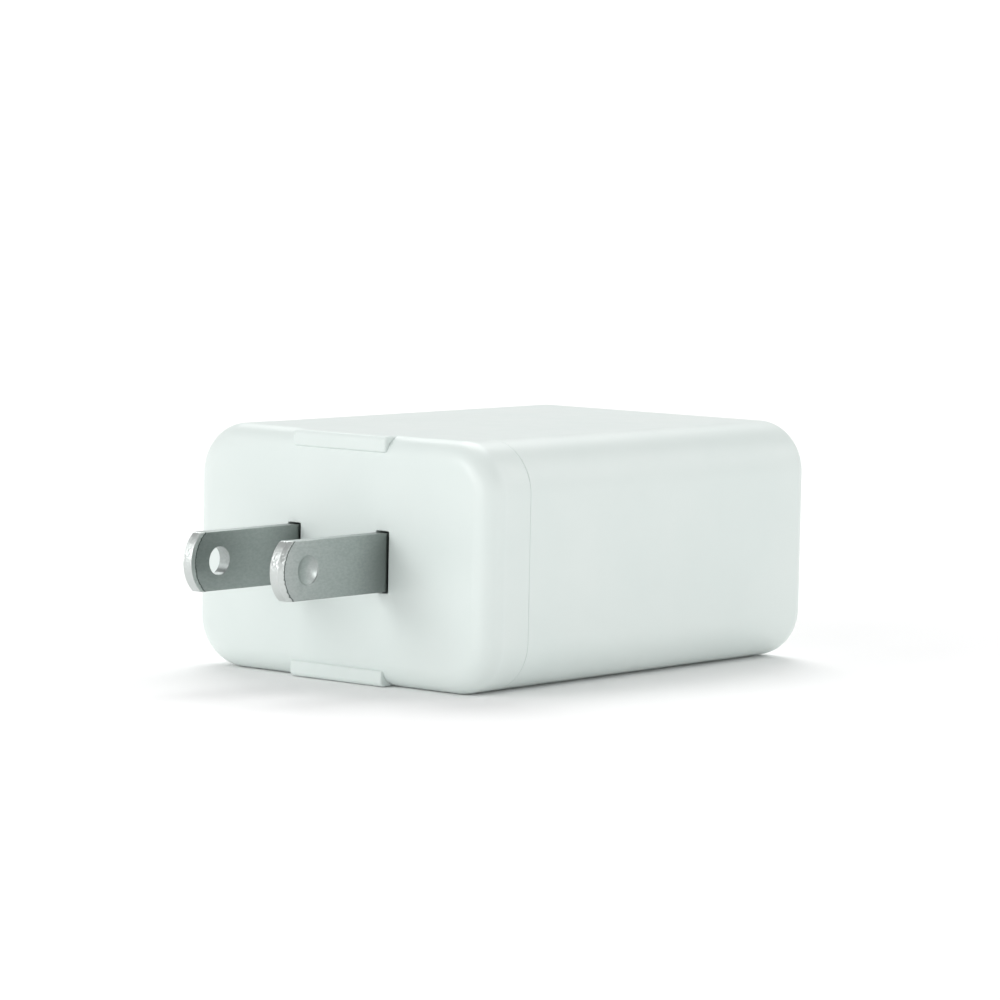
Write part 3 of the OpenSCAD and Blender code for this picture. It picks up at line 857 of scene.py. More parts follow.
def coil_tree() -> NodeTree:
    """Geometry Nodes tree that winds wire on a closed former.

    The base is a straight line with one point per step. Its place along the line gives the turn and,
    where Sweep is above nought, the place round a ring; otherwise the wire climbs by Climb.

    Returns:
        The tree, with named inputs for its sizes in metres.
    """
    tree, known = open_tree("wound_wire", (
        ("Turns", "Float", 16.0), ("Half Deep", "Float", 0.002), ("Half Wide", "Float", 0.002),
        ("Ring Radius", "Float", 0.0), ("Start", "Float", 0.0), ("Sweep", "Float", 0.0),
        ("Climb", "Float", 0.0), ("Wire Radius", "Float", 0.0003), ("Finish", "Material", None)))
    known["Part"] = add_node(tree, "GeometryNodeSplineParameter").outputs["Factor"]
    for result, operation, *terms in WINDING:
        node = add_node(tree, "ShaderNodeMath", {"operation": operation}, {
            i: known.get(term, term) for i, term in enumerate(terms)})
        known[result] = node.outputs["Value"]
    line = add_node(tree, "GeometryNodeCurvePrimitiveLine", None, {"End": (1.0, 0.0, 0.0)})
    row = add_node(tree, "GeometryNodeResampleCurve", None, {
        "Curve": line.outputs["Curve"], "Count": known["Steps"]})
    ringed = add_node(tree, "ShaderNodeCombineXYZ", None, {
        "X": known["Ring X"], "Y": known["Ring Y"], "Z": known["Wide"]})
    stacked = add_node(tree, "ShaderNodeCombineXYZ", None, {
        "X": known["Deep"], "Y": known["Wide"], "Z": known["Height"]})
    place = add_node(tree, "ShaderNodeMix", {"data_type": "VECTOR"}, {
        0: known["Ringed"], MIX_FROM: stacked.outputs["Vector"], MIX_TO: ringed.outputs["Vector"]})
    bent = add_node(tree, "GeometryNodeSetPosition", None, {
        "Geometry": row.outputs["Curve"], "Position": place.outputs[MIXED_VECTOR]})
    round_wire = add_node(tree, "GeometryNodeCurvePrimitiveCircle", None, {
        "Resolution": WIRE_SIDES, "Radius": known["Wire Radius"]})
    wire = add_node(tree, "GeometryNodeCurveToMesh", None, {
        "Curve": bent.outputs["Geometry"], "Profile Curve": round_wire.outputs["Curve"], "Fill Caps": True})
    smooth = add_node(tree, "GeometryNodeSetShadeSmooth", None, {"Geometry": wire.outputs["Mesh"]})
    close_tree(tree, smooth.outputs["Geometry"], known["Finish"])
    return tree


def scatter_tree() -> NodeTree:
    """Geometry Nodes tree that sets one domed fillet of solder on each point of its base mesh.

    Returns:
        The tree, with named inputs for the fillet's radius and height in metres.
    """
    tree, given = open_tree("solder_fillets", (
        ("Joints", "Geometry", None), ("Radius", "Float", 0.0009), ("Height", "Float", 0.0006),
        ("Seed", "Int", 7), ("Finish", "Material", None)))
    cone = add_node(tree, "GeometryNodeMeshCone", None, {
        "Vertices": 14, "Side Segments": 4, "Radius Top": JOINT_TOP, "Radius Bottom": given["Radius"],
        "Depth": given["Height"]})
    smooth = add_node(tree, "GeometryNodeSetShadeSmooth", None, {"Geometry": cone.outputs["Mesh"]})
    turned = add_node(tree, "GeometryNodeTransform", None, {
        "Geometry": smooth.outputs["Geometry"], "Rotation": (math.pi, 0.0, 0.0)})
    uneven = add_node(tree, "FunctionNodeRandomValue", {"data_type": "FLOAT"}, {
        RANDOM_LEAST: JOINT_SPREAD[0], RANDOM_MOST: JOINT_SPREAD[1], "Seed": given["Seed"]})
    set_out = add_node(tree, "GeometryNodeInstanceOnPoints", None, {
        "Points": given["Joints"], "Instance": turned.outputs["Geometry"], "Scale": uneven.outputs[1]})
    close_tree(tree, set_out.outputs["Instances"], given["Finish"])
    return tree


def grown(name: str, tree: NodeTree, values: dict, points: list[Vector] | None = None,
          place: Matrix | None = None) -> Object:
    """Run a tree on an object once and keep only the mesh it makes.

    Args:
        name: The new object's name.
        tree: The tree.
        values: Values by input name.
        points: Base points in millimetres, where the tree needs them.
        place: Turn and place of the result, in metres.

    Returns:
        The object, at the origin, with its place in its mesh.
    """
    base = bpy.data.meshes.new(name)
    base.from_pydata([p * MM for p in points or []], [], [])
    thing = bpy.data.objects.new(name, base)
    bpy.context.scene.collection.objects.link(thing)
    grow = thing.modifiers.new("grow", "NODES")
    grow.node_group = tree
    sockets = {item.name: item.identifier for item in tree.interface.items_tree if item.in_out == "INPUT"}
    for key, value in values.items():
        grow[sockets[key]] = value
    settle(thing)
    if place:
        thing.data.transform(place)
    return thing


# ---------- case ----------


@dataclass
class Case:
    """The sleeve with the socket end wall, and the cover with the plug face and its grip ledges."""

    corner: float = 5.7
    plug_edge: float = 2.6
    port_edge: float = 2.0
    seam_edge: float = 0.15
    wall: float = 2.0
    collar: float = 1.2
    collar_depth: float = 2.6
    ledge_width: float = 13.2
    ledge_height: float = 1.8
    ledge_proud: float = 0.1
    ledge_edge: float = 0.6
    slot_size: Point = (1.8, 6.65)
    slot_x: float = 6.35
    slot_edge: float = 0.12
    slot_corner: float = 0.12
    cover_proud: float = 0.03
    port_x: float = 9.0
    port_size: Point = (13.2, 5.82)
    port_corner: float = 0.65
    port_step: float = 0.35
    port_step_deep: float = 0.4
    port_lip: float = 0.25
    rail_x: Point = (16.9, 19.5)
    rail_z: tuple[Point, Point] = ((2.3, 4.95), (6.65, 7.85))
    rail_start: float = 1.2
    upper_rail: float = 7.0
    ledge_side: float = 0.22
    ledge_root: float = 0.3
    peg_x: float = 10.2
    peg_z: float = 3.4
    corner_steps: int = 24
    size: Vector = field(init=False)
    end_y: float = field(init=False)
    seam_y: float = field(init=False)
    face_y: float = field(init=False)
    mid_z: float = field(init=False)

    def __post_init__(self) -> None:
        """Take the outer sizes from the CAD."""
        lo, hi = cad_box("main_housing")
        self.size = hi - lo
        self.end_y = lo.y
        self.seam_y = hi.y
        self.face_y = cad_box("plug_cover")[1].y - self.ledge_proud
        self.mid_z = (lo.z + hi.z) / 2

    def ring(self, inset: float, y: float) -> list[Vector]:
        """Outline of the case set in by inset, at y."""
        flat = rounded_outline(self.size.x - 2 * inset, self.size.z - 2 * inset, self.corner - inset,
                               self.corner_steps)
        return [Vector((u, y, self.mid_z + v)) for u, v in flat]

    def opening(self, skin: Skin, x: float, size: Point, radius: float, stations: list[Point],
                steps: int = 6) -> tuple[list, list]:
        """Add the wall of one opening through an end wall.

        Args:
            skin: Skin of the case part.
            x: Middle of the opening.
            size: Its width and height.
            radius: Radius of its corners.
            stations: Pairs of outset and y, from the outside in.
            steps: Facets in each corner.

        Returns:
            Its first and last ring.
        """
        rings = []
        for out, y in stations:
            flat = rounded_outline(size[0] + 2 * out, size[1] + 2 * out, radius + out, steps)
            rings.append([Vector((x + u, y, self.mid_z + v)) for u, v in flat])
        return skin.tube(rings)

    def sleeve(self, plastic: Material) -> Object:
        """Sleeve: rim at the seam, long walls, rounded socket end with its two openings, rails."""
        skin = Skin()
        rim = fillet(self.seam_edge, self.seam_y, -1, 5)[::-1]
        outside = rim + fillet(self.port_edge, self.end_y, 1, 14)
        first, last = skin.tube([self.ring(i, y) for i, y in outside])
        step_y = self.end_y + self.port_step_deep
        mouths, backs = [], []
        for side in Side:
            lip = [(self.port_step + i, y) for i, y in fillet(self.port_lip, self.end_y, 1, 5)[::-1]]
            well = lip + [(self.port_step, step_y - 0.04), (self.port_step - 0.04, step_y),
                          (0.06, step_y), (0.0, step_y + 0.06), (0.0, self.end_y + self.wall)]
            at, size = side.value * self.port_x, self.port_size
            mouth, back = self.opening(skin, at, size, self.port_corner, well)
            mouths.append(mouth)
            backs.append(back)
        skin.fill(last, mouths)
        hollow = [(self.wall, self.seam_y), (self.wall, self.end_y + self.wall)]
        inner_rim, inner_end = skin.tube([self.ring(i, y) for i, y in hollow])
        skin.bridge(first, inner_rim)
        skin.fill(inner_end, backs)
        rail_ends = (self.seam_y - self.collar_depth - 0.3, self.end_y + self.upper_rail)
        for side in Side:
            left, right = sorted(side.value * x for x in self.rail_x)
            for (z_lo, z_hi), y_hi in zip(self.rail_z, rail_ends):
                skin.bar((left, self.end_y + self.rail_start, z_lo), (right, y_hi, z_hi), 0.2)
        return skin.piece("sleeve", [plastic])

    def ledge(self, skin: Skin, up: int) -> None:
        """Grip ledge on the upper (1) or lower (-1) edge of the plug face.

        Args:
            skin: Skin of the cover.
            up: Which edge.
        """
        front = self.face_y + self.ledge_proud
        back = self.face_y - self.plug_edge
        outer = self.size.z / 2
        depth, height = front - back, self.ledge_height
        edge = self.ledge_side
        rows = fillet(edge, -self.ledge_width / 2, 1, 5)[::-1] + fillet(edge, self.ledge_width / 2, -1, 5)
        rings = []
        for inset, x in rows:
            corners = (self.ledge_edge - inset, edge - inset, edge - inset, self.ledge_root - inset)
            flat = rounded_outline(depth - 2 * inset, height - 2 * inset, corners, 6)
            rings.append([Vector((x, (front + back) / 2 + u, self.mid_z + up * (outer - height / 2 + v)))
                          for u, v in flat])
        first, last = skin.tube(rings)
        skin.fill(first)
        skin.fill(last)

    def cover(self, plastic: Material) -> Object:
        """Cover: plug face with two slots, rounded edge, collar inside the sleeve, ledges and pegs."""
        skin = Skin()
        inner = self.wall + self.collar
        clear = self.wall + PLAY
        back_y = self.seam_y - self.collar_depth
        inside = [(inner, self.face_y - self.wall), (inner, back_y + 0.2), (inner - 0.2, back_y),
                  (clear + 0.4, back_y), (clear, back_y + 0.6), (clear, self.seam_y)]
        edge = fillet(self.seam_edge, self.seam_y, 1, 5)[::-1]
        outside = [(i - self.cover_proud, y) for i, y in edge]
        outside += fillet(self.plug_edge + self.cover_proud, self.face_y, -1, 20, -self.cover_proud)
        first, last = skin.tube([self.ring(i, y) for i, y in inside + outside])
        fronts, backs = [], []
        for side in Side:
            wall = fillet(self.slot_edge, self.face_y, -1, 4)[::-1] + [(0.0, self.face_y - self.wall)]
            at, size = side.value * self.slot_x, self.slot_size
            front, back = self.opening(skin, at, size, self.slot_corner, wall, 4)
            fronts.append(front)
            backs.append(back)
        skin.fill(last, fronts)
        skin.fill(first, backs)
        for up in (1, -1):
            self.ledge(skin, up)
        lo, hi = cad_box("blade_retainer")
        end = hi.y - lo.y + 0.1
        peg = [(0.0, -0.6), (1.2, -0.6), (1.5, -0.35), (1.5, -PLAY), (0.9, -PLAY), (0.9, end), (0.0, end)]
        for x in (-self.peg_x, self.peg_x):
            for z in (-self.peg_z, self.peg_z):
                skin.lathe(peg, Vector((x, lo.y, self.mid_z + z)), Along.Y, 24)
        return skin.piece("cover", [plastic])

    def build(self) -> None:
        """Make and mount both parts."""
        plastic = CASE_PLASTIC.build()
        mount(self.sleeve(plastic), Slot.CASE, "main_housing")
        mount(self.cover(plastic), Slot.CASE, "plug_cover")


# Moulded ABS and polycarbonate blend from a polished mould: a satin, faintly uneven mint white whose
# edges catch a soft light.
CASE_PLASTIC = Finish("moulded_mint_abs", "#DCE4E1", "#D9E2DF", 0.36, 0.03, ior=1.54, patch_mm=14.0,
                      grain_mm=0.5, depth_mm=0.0012)


# ---------- blades ----------


@dataclass
class Blades:
    """Two flat mains blades stamped from brass strip and nickel plated."""

    width: float = 6.35
    tip_radius: float = 4.0
    tip_steps: int = 12
    corner: float = 0.5
    bevel: float = 0.6
    bevel_depth: float = 0.35
    rollover: float = 0.1
    detent_y: float = 32.6
    detent: float = 1.55
    dimple_rim: tuple[Point, ...] = ((0.12, 0.0), (0.05, 0.015), (0.0, 0.05), (-0.04, 0.09))
    dimple_bowl: float = 0.31
    hole_rim: tuple[Point, ...] = ((0.12, 0.0), (0.04, 0.03), (0.0, 0.1))
    hole_break: float = 0.06
    notch_y: float = 15.6
    notch: float = 0.9
    notch_long: float = 1.2
    nodes: tuple[tuple[Side, str], ...] = ((Side.LEFT, "line_blade"), (Side.RIGHT, "neutral_blade"))

    def outline(self, tail_y: float, tip_y: float) -> list[Point]:
        """Outline in Y and Z about the blade's middle line, anticlockwise.

        Args:
            tail_y: Inner end.
            tip_y: Tip.

        Returns:
            The outline with every corner softened.
        """
        half = self.width / 2
        centre = tip_y - self.tip_radius
        reach = math.asin(half / self.tip_radius)
        arc = [(centre + self.tip_radius * math.cos(reach * (i / self.tip_steps - 1)),
                self.tip_radius * math.sin(reach * (i / self.tip_steps - 1)))
               for i in range(2 * self.tip_steps + 1)]
        deep, end = -half + self.notch / 2, self.notch_y + self.notch_long
        lower = [(tail_y, -half), (self.notch_y, -half), (self.notch_y, deep), (end, deep), (end, -half)]
        upper = [(y, -z) for y, z in reversed(lower)]
        return softened(lower + arc + upper, self.corner, 5)

    def detent_wall(self, side: Side, thick: float) -> list[Point]:
        """Wall of the left blade's blind dimple or the right blade's hole.

        Args:
            side: Which blade.
            thick: The blade's thickness.

        Returns:
            Pairs of outset and depth, from the outer face in.
        """
        if side is Side.RIGHT:
            return [*self.hole_rim, (0.0, thick - self.hole_break), (self.hole_break, thick)]
        inset, start = self.dimple_rim[-1]
        wall = list(self.dimple_rim)
        for step in range(1, 10):
            share = 1.0 - step / 10
            wall.append(((self.detent + inset) * share - self.detent,
                         start + self.dimple_bowl * (1.0 - share ** 2)))
        return wall

    def blade(self, side: Side, node: str, metal: Material) -> Object:
        """One blade: the left has a blind dimple, the right a hole right through.

        Args:
            side: Which blade.
            node: Its CAD node.
            metal: Its finish.

        Returns:
            The finished piece.
        """
        lo, hi = cad_box(node)
        outer_x = lo.x if side is Side.LEFT else hi.x
        inner_x = hi.x if side is Side.LEFT else lo.x
        thick = abs(outer_x - inner_x)
        mid_z = (lo.z + hi.z) / 2
        into = -side.value
        skin = Skin()
        rows = fillet(self.rollover, 0.0, 1, 7)[::-1] + [(0.0, self.bevel_depth)]
        rows += fillet(self.rollover * 0.6, thick, -1, 7)
        rings = []
        for inset, depth in rows:
            back_off = self.bevel * max(0.0, 1.0 - depth / self.bevel_depth)
            flat = self.outline(lo.y, hi.y - back_off)
            ring = inset_outline(flat, inset) if inset > 1e-6 else flat
            rings.append([Vector((outer_x + into * depth, y, mid_z + z)) for y, z in ring])
        front, back = skin.tube(rings)
        circle = [(math.cos(math.tau * i / 48), math.sin(math.tau * i / 48)) for i in range(48)]
        rings = []
        for wider, depth in self.detent_wall(side, thick):
            radius = self.detent + wider
            rings.append([Vector((outer_x + into * depth, self.detent_y + radius * u, mid_z + radius * v))
                          for u, v in circle])
        mouth, floor = skin.tube(rings)
        skin.fill(front, [mouth])
        if side is Side.LEFT:
            skin.fill(floor)
            skin.fill(back)
        else:
            skin.fill(back, [floor])
        return skin.piece(node + "_plated", [metal], 15.5)

    def build(self) -> None:
        """Make and mount both blades."""
        metal = BLADE_NICKEL.build()
        for side, node in self.nodes:
            mount(self.blade(side, node, metal), Slot.BLADE, node)


# Satin nickel plate on stamped brass strip: a cool grey metal streaked along the strip, with a painted
# highlight on the coined tip, a painted shade line at its crease and painted shade by the case.
BLADE_NICKEL = CoinedNickelWithPaintedLight("satin_nickel_plate", "#AAB0AE", "#9FA6A4", 0.32, 0.04, metallic=1.0,
                            patch_mm=0.22, grain_mm=0.1, depth_mm=0.004, stretch=(1.0, 0.5, 1.0))


@dataclass(frozen=True)
class PrintedLaminate(Finish):
    """Glass-epoxy board under a green mask, lighter and raised where copper lies beneath."""

    turn: tuple[float, float, float] = (0.0, 0.0, 0.0)
    pour_mm: float = 4.2
    pour_shape: float = 0.55
    track_mm: float = 0.22
    copper_mm: float = 0.035

    def copper(self, tree: NodeTree, place: NodeSocket) -> NodeSocket:
        """One between the copper areas, nought on them."""
        laid = add_node(tree, "ShaderNodeMapping", None, {"Vector": place, "Rotation": self.turn})
        pours = add_node(tree, "ShaderNodeTexBrick", {
            "offset": 0.37, "squash": 0.62, "squash_frequency": 3}, {
            "Vector": laid.outputs["Vector"], "Scale": 1.0 / MM, "Mortar Size": self.track_mm * 0.5,
            "Brick Width": self.pour_mm, "Row Height": self.pour_mm * self.pour_shape})
        return pours.outputs["Fac"]

    def patches(self, tree: NodeTree, place: NodeSocket) -> NodeSocket:
        """Mask green, darker in the gaps between the copper areas."""
        return self.mixed(tree, self.copper(tree, place))

    def grain(self, tree: NodeTree, place: NodeSocket) -> NodeSocket:
        """Step down of the mask between the copper areas."""
        node = add_node(tree, "ShaderNodeBump", {"invert": True}, {
            "Height": self.copper(tree, place), "Distance": self.copper_mm * MM, "Strength": 1.0})
        return node.outputs["Normal"]


@dataclass(frozen=True)
class StripedSleeve(Finish):
    """Shrink film with the pale stripe down its outer side that marks the negative lead."""

    stripe_x: Point = (16.55, 16.58)

    def patches(self, tree: NodeTree, place: NodeSocket) -> NodeSocket:
        """Dark film with the stripe on the side away from the charger's middle."""
        split = add_node(tree, "ShaderNodeSeparateXYZ", None, {"Vector": place})
        aside = add_node(tree, "ShaderNodeMath", {"operation": "ABSOLUTE"}, {0: split.outputs["X"]})
        step = add_node(tree, "ShaderNodeMapRange", None, {
            "Value": aside.outputs["Value"], "From Min": self.stripe_x[0] * MM,
            "From Max": self.stripe_x[1] * MM})
        return self.mixed(tree, step.outputs["Result"])


# ---------- sockets ----------


@dataclass
class Sockets:
    """Two USB-A sockets: drawn steel shell with spring leaves, moulded tongue and gilt contacts."""

    mouth: Point = (12.5, 5.12)
    sheet: float = 0.3
    corner: float = 0.6
    lip: float = 0.1
    leaf_x: float = 3.2
    leaf_width: float = 1.4
    leaf_path: tuple[Point, ...] = ((9.4, 0.0), (5.0, 0.42), (3.6, 0.02))
    window: Point = (2.2, 6.0)
    window_in: float = 3.0
    tongue_width: float = 11.1
    tongue_thick: float = 1.84
    contact_xs: tuple[float, ...] = (-3.5, -1.0, 1.0, 3.5)
    contact_width: float = 1.0
    contact_thick: float = 0.24
    contact_path: tuple[Point, ...] = ((-0.05, 0.14), (0.5, 0.02), (1.6, -0.06), (3.2, 0.0))
    groove_deep: float = 0.25
    block_long: float = 2.35

    def shell(self, side: Side, steel: Material) -> Object:
        """Shell of one socket, with its windows cut and its four leaves bent in.

        Args:
            side: Which socket.
            steel: Its finish.

        Returns:
            The finished piece.
        """
        lo, hi = cad_box(f"usb_shell_{side.word}")
        x, z = (lo.x + hi.x) / 2, (lo.z + hi.z) / 2
        rows = [(self.sheet, hi.y), (self.sheet, lo.y + self.lip), (self.sheet - 0.04, lo.y + 0.03),
                (self.sheet / 2, lo.y), (0.04, lo.y + 0.03), (0.0, lo.y + self.lip), (0.0, hi.y)]
        skin = Skin()
        rings = []
        for inset, y in rows:
            flat = rounded_outline(self.mouth[0] + 2 * (self.sheet - inset),
                                   self.mouth[1] + 2 * (self.sheet - inset), self.corner - inset, 6)
            rings.append([Vector((x + u, y, z + v)) for u, v in flat])
        first, last = skin.tube(rings)
        skin.bridge(last, first)
        cutter = Skin()
        for aside in (-self.leaf_x, self.leaf_x):
            half = self.window[0] / 2
            near, far = lo.y + self.window_in, lo.y + self.window_in + self.window[1]
            cutter.bar((x + aside - half, near, lo.z - 1), (x + aside + half, far, hi.z + 1), 0.15)
        thing = skin.piece(f"shell_{side.word}", [steel], 32.0, cutter)
        leaves = Skin()
        for aside in (-self.leaf_x, self.leaf_x):
            for up in (-1, 1):
                root_z = (self.mouth[1] + self.sheet) / 2
                path = curved([(lo.y + in_, z + up * (root_z - dip)) for in_, dip in self.leaf_path], 5)
                half = self.leaf_width / 2
                leaves.strip(path, self.sheet, x + aside - half, x + aside + half, Along.X)
        return joined(thing, leaves.piece(f"leaves_{side.word}", [steel]))

    def tongue(self, side: Side, plastic: Material) -> Object:
        """Tongue with four contact grooves below, and the block at its root.

        Args:
            side: Which socket.
            plastic: Its finish.

        Returns:
            The finished piece.
        """
        lo, hi = cad_box(f"usb_tongue_{side.word}")
        under = cad_box(f"usb_contacts_{side.word}")[0].z + 0.1
        x = (lo.x + hi.x) / 2
        half, top = self.tongue_width / 2, self.tongue_thick
        groove, deep = self.contact_width / 2 + PLAY, self.groove_deep
        lower = [(-half, 0.0)]
        for at in self.contact_xs:
            lower += [(at - groove, 0.0), (at - groove, deep), (at + groove, deep), (at + groove, 0.0)]
        outline = lower + [(half, 0.0), (half, top), (-half, top)]
        skin = Skin()
        rings = []
        for inset, y in ((0.12, lo.y), (0.03, lo.y + 0.1), (0.0, lo.y + 0.3), (0.0, hi.y - 1)):
            flat = inset_outline(outline, inset) if inset else outline
            rings.append([Vector((x + u, y, under + v)) for u, v in flat])
        first, last = skin.tube(rings)
        skin.fill(first)
        skin.fill(last)
        skin.bar((lo.x, hi.y - self.block_long, lo.z), (hi.x, hi.y, hi.z), 0.3)
        return skin.piece(f"tongue_{side.word}", [plastic])

    def contacts(self, side: Side, gilt: Material) -> Object:
        """Four contacts, each bowed a little out of its groove and turned up at its nose.

        Args:
            side: Which socket.
            gilt: Their finish.

        Returns:
            The finished piece.
        """
        lo, hi = cad_box(f"usb_contacts_{side.word}")
        x = (lo.x + hi.x) / 2
        z = (lo.z + hi.z) / 2
        path = curved([(lo.y + in_, z + rise) for in_, rise in self.contact_path] + [(hi.y, z)], 4)
        half = self.contact_width / 2
        skin = Skin()
        for at in self.contact_xs:
            skin.strip(path, self.contact_thick, x + at - half, x + at + half, Along.X)
        return skin.piece(f"contacts_{side.word}", [gilt])

    def build(self) -> None:
        """Make and mount both sockets."""
        steel, plastic, gilt = SHELL_STEEL.build(), TONGUE_NYLON.build(), CONTACT_GILT.build()
        for side in Side:
            mount(self.shell(side, steel), Slot.SHELL, f"usb_shell_{side.word}")
            mount(self.tongue(side, plastic), Slot.TONGUE, f"usb_tongue_{side.word}")
            mount(self.contacts(side, gilt), Slot.CONTACT, f"usb_contacts_{side.word}")


# Cold-drawn steel under bright nickel: a cool silver with faint lines along the draw.
SHELL_STEEL = Finish("drawn_nickelled_steel", "#C9CBCA", "#BFC1C1", 0.24, 0.05, metallic=1.0, grain_mm=0.12,
                     depth_mm=0.002, stretch=(1.0, 0.08, 1.0))
# Glass-filled nylon, moulded: a dull warm white with a dry, slightly rough skin.
TONGUE_NYLON = Finish("moulded_white_nylon", "#EFEEE8", "#E8E7E0", 0.5, 0.05, ior=1.53, grain_mm=0.25,
                      depth_mm=0.006)
# Hard gold over nickelled brass: a warm bright yellow metal with hardly any grain.
CONTACT_GILT = Finish("hard_gold_plate", "#E2BC62", "#D9B158", 0.22, 0.04, metallic=1.0, grain_mm=0.15,
                      depth_mm=0.001, stretch=(1.0, 0.2, 1.0))


# ---------- boards and chips ----------


@dataclass
class Chip:
    """Moulded chip with gull-wing legs on its two long sides, drawn standing on z = 0."""

    node: str
    legs: int
    pitch: float
    body: tuple[float, float, float]
    lift: float = 0.1
    edge: float = 0.14
    dot: float = 0.28
    dot_in: float = 0.7
    leg_width: float = 0.4
    leg_thick: float = 0.18
    leg_out: float = 0.45
    foot: float = 0.7

    def build(self, epoxy: Material, tin: Material, place: Matrix) -> None:
        """Make and mount the chip.

        Args:
            epoxy: Finish of its body.
            tin: Finish of its legs.
            place: Turn and place on its board, in millimetres.
        """
        wide, deep, high = self.body
        top = self.lift + high
        low, proud = top - 0.05, top + 0.012
        skin = Skin()
        skin.bar((-wide / 2, -deep / 2, self.lift), (wide / 2, deep / 2, top), self.edge, 0, 3)
        skin.lathe([(0.0, low), (self.dot, low), (self.dot, proud), (0.0, proud)],
                   Vector((-wide / 2 + self.dot_in, deep / 2 - self.dot_in, 0)), Along.Z, 20, 2)
        upright = wide / 2 + self.leg_out
        shoulder = high / 2 + self.lift
        for row in range(self.legs):
            y = (row - (self.legs - 1) / 2) * self.pitch
            for aside in (-1, 1):
                bend = [(wide / 2 - 0.2, shoulder), (upright, shoulder), (upright, self.lift),
                        (upright + self.foot, self.lift)]
                skin.strip([(aside * u, v) for u, v in bend], self.leg_thick, y - self.leg_width / 2,
                           y + self.leg_width / 2, Along.Y, 1)
        skin.shift(place)
        thing = skin.piece(self.node + "_package", [epoxy, tin, MARK_INK.build()])
        mount(thing, Slot.CHIP, self.node)


@dataclass
class Boards:
    """Main board, socket board, their chips and their solder joints."""

    joint_radius: float = 0.85
    joint_height: float = 0.6

    def joints(self) -> list[Vector]:
        """Places under the main board where a through-hole lead is soldered."""
        floor = cad_box("main_board")[0].z
        bobbin = cad_box("transformer_bobbin")
        coil_y = (bobbin[0].y + bobbin[1].y) / 2
        flat = [*FUSE_LEADS, *LINE_LEADS, *DISC_LEADS]
        row_x, pitch = COIL_LEADS
        flat += [(aside * row_x, coil_y + pitch * row) for aside in (-1, 1) for row in range(-2, 3)]
        for side in Side:
            for x, y, half in (BULK_LEADS, OUTPUT_LEADS):
                flat += [(side.value * x + gap, y) for gap in (-half, half)]
            flat.append((side.value * SPRING_LEAD[0], SPRING_LEAD[1]))
        return [Vector((x, y, floor - self.joint_height)) for x, y in flat]

    def build(self) -> None:
        """Dress the boards, then make and mount the chips and the joints."""
        dress("main_board", BOARD_LAMINATE.build())
        dress("usb_board", UPRIGHT_LAMINATE.build())
        epoxy, tin = CHIP_EPOXY.build(), PIN_TIN.build()
        under = Matrix.Rotation(math.pi, 4, "Y")
        for chip in CHIPS:
            lo, hi = cad_box(chip.node)
            middle = (lo + hi) / 2
            if chip.node == "port_controller":
                place = Matrix.Translation((middle.x, lo.y, middle.z)) @ Matrix.Rotation(-QUARTER, 4, "X")
            else:
                place = Matrix.Translation((middle.x, middle.y, hi.z)) @ under
            chip.build(epoxy, tin, place)
        joints = grown("solder_joints", scatter_tree(), {
            "Radius": self.joint_radius * MM, "Height": self.joint_height * MM, "Seed": 7,
            "Finish": SOLDER.build()}, self.joints())
        mount(joints, Slot.TIN)


CHIPS = [
    Chip("bridge_rectifier", 2, 3.8, (4.6, 6.0, 1.4)),
    Chip("primary_controller", 4, 1.27, (3.9, 4.9, 1.5)),
    Chip("synchronous_rectifier", 4, 1.27, (3.9, 4.9, 1.5)),
    Chip("optocoupler", 2, 2.54, (4.4, 4.6, 1.9)),
    Chip("port_controller", 3, 0.95, (1.7, 2.9, 1.1)),
]

# Glass-epoxy laminate under a cured green mask: glossy, lighter over the copper areas.
BOARD_LAMINATE = PrintedLaminate("green_masked_glass_epoxy", "#2C7549", "#286A42", 0.28, 0.05, ior=1.55,
                                 coat=0.3)
# The same laminate for the board that stands upright across Y.
UPRIGHT_LAMINATE = PrintedLaminate("green_masked_glass_epoxy_upright", "#2C7549", "#286A42", 0.28, 0.05,
                                   ior=1.55, coat=0.3, turn=(QUARTER, 0.0, 0.0))
# Silica-filled moulding epoxy: near black, dull, with the fine sparkle of a spark-eroded mould.
CHIP_EPOXY = Finish("silica_filled_epoxy", "#262729", "#2E2F31", 0.55, 0.06, ior=1.55, patch_mm=1.5,
                    grain_mm=0.12, depth_mm=0.006)
# Laser-whitened dot that marks the first leg.
MARK_INK = Finish("laser_whitened_epoxy", "#B9BAB6", "#A9AAA6", 0.7, 0.05, grain_mm=0.1, depth_mm=0.002)
# Matt electroplated tin: soft grey metal, cloudy rather than bright.
PIN_TIN = Finish("matt_tin_plate", "#C5C6C2", "#B6B7B3", 0.38, 0.06, metallic=1.0, patch_mm=1.0,
                 grain_mm=0.1, depth_mm=0.002)
# Lead-free solder, set from melt: bright and smooth with a faint frosting.
SOLDER = Finish("lead_free_solder", "#CFD0CE", "#BEBFBC", 0.22, 0.08, metallic=1.0, patch_mm=0.6,
                grain_mm=0.15, depth_mm=0.006)


# ---------- mains filter ----------


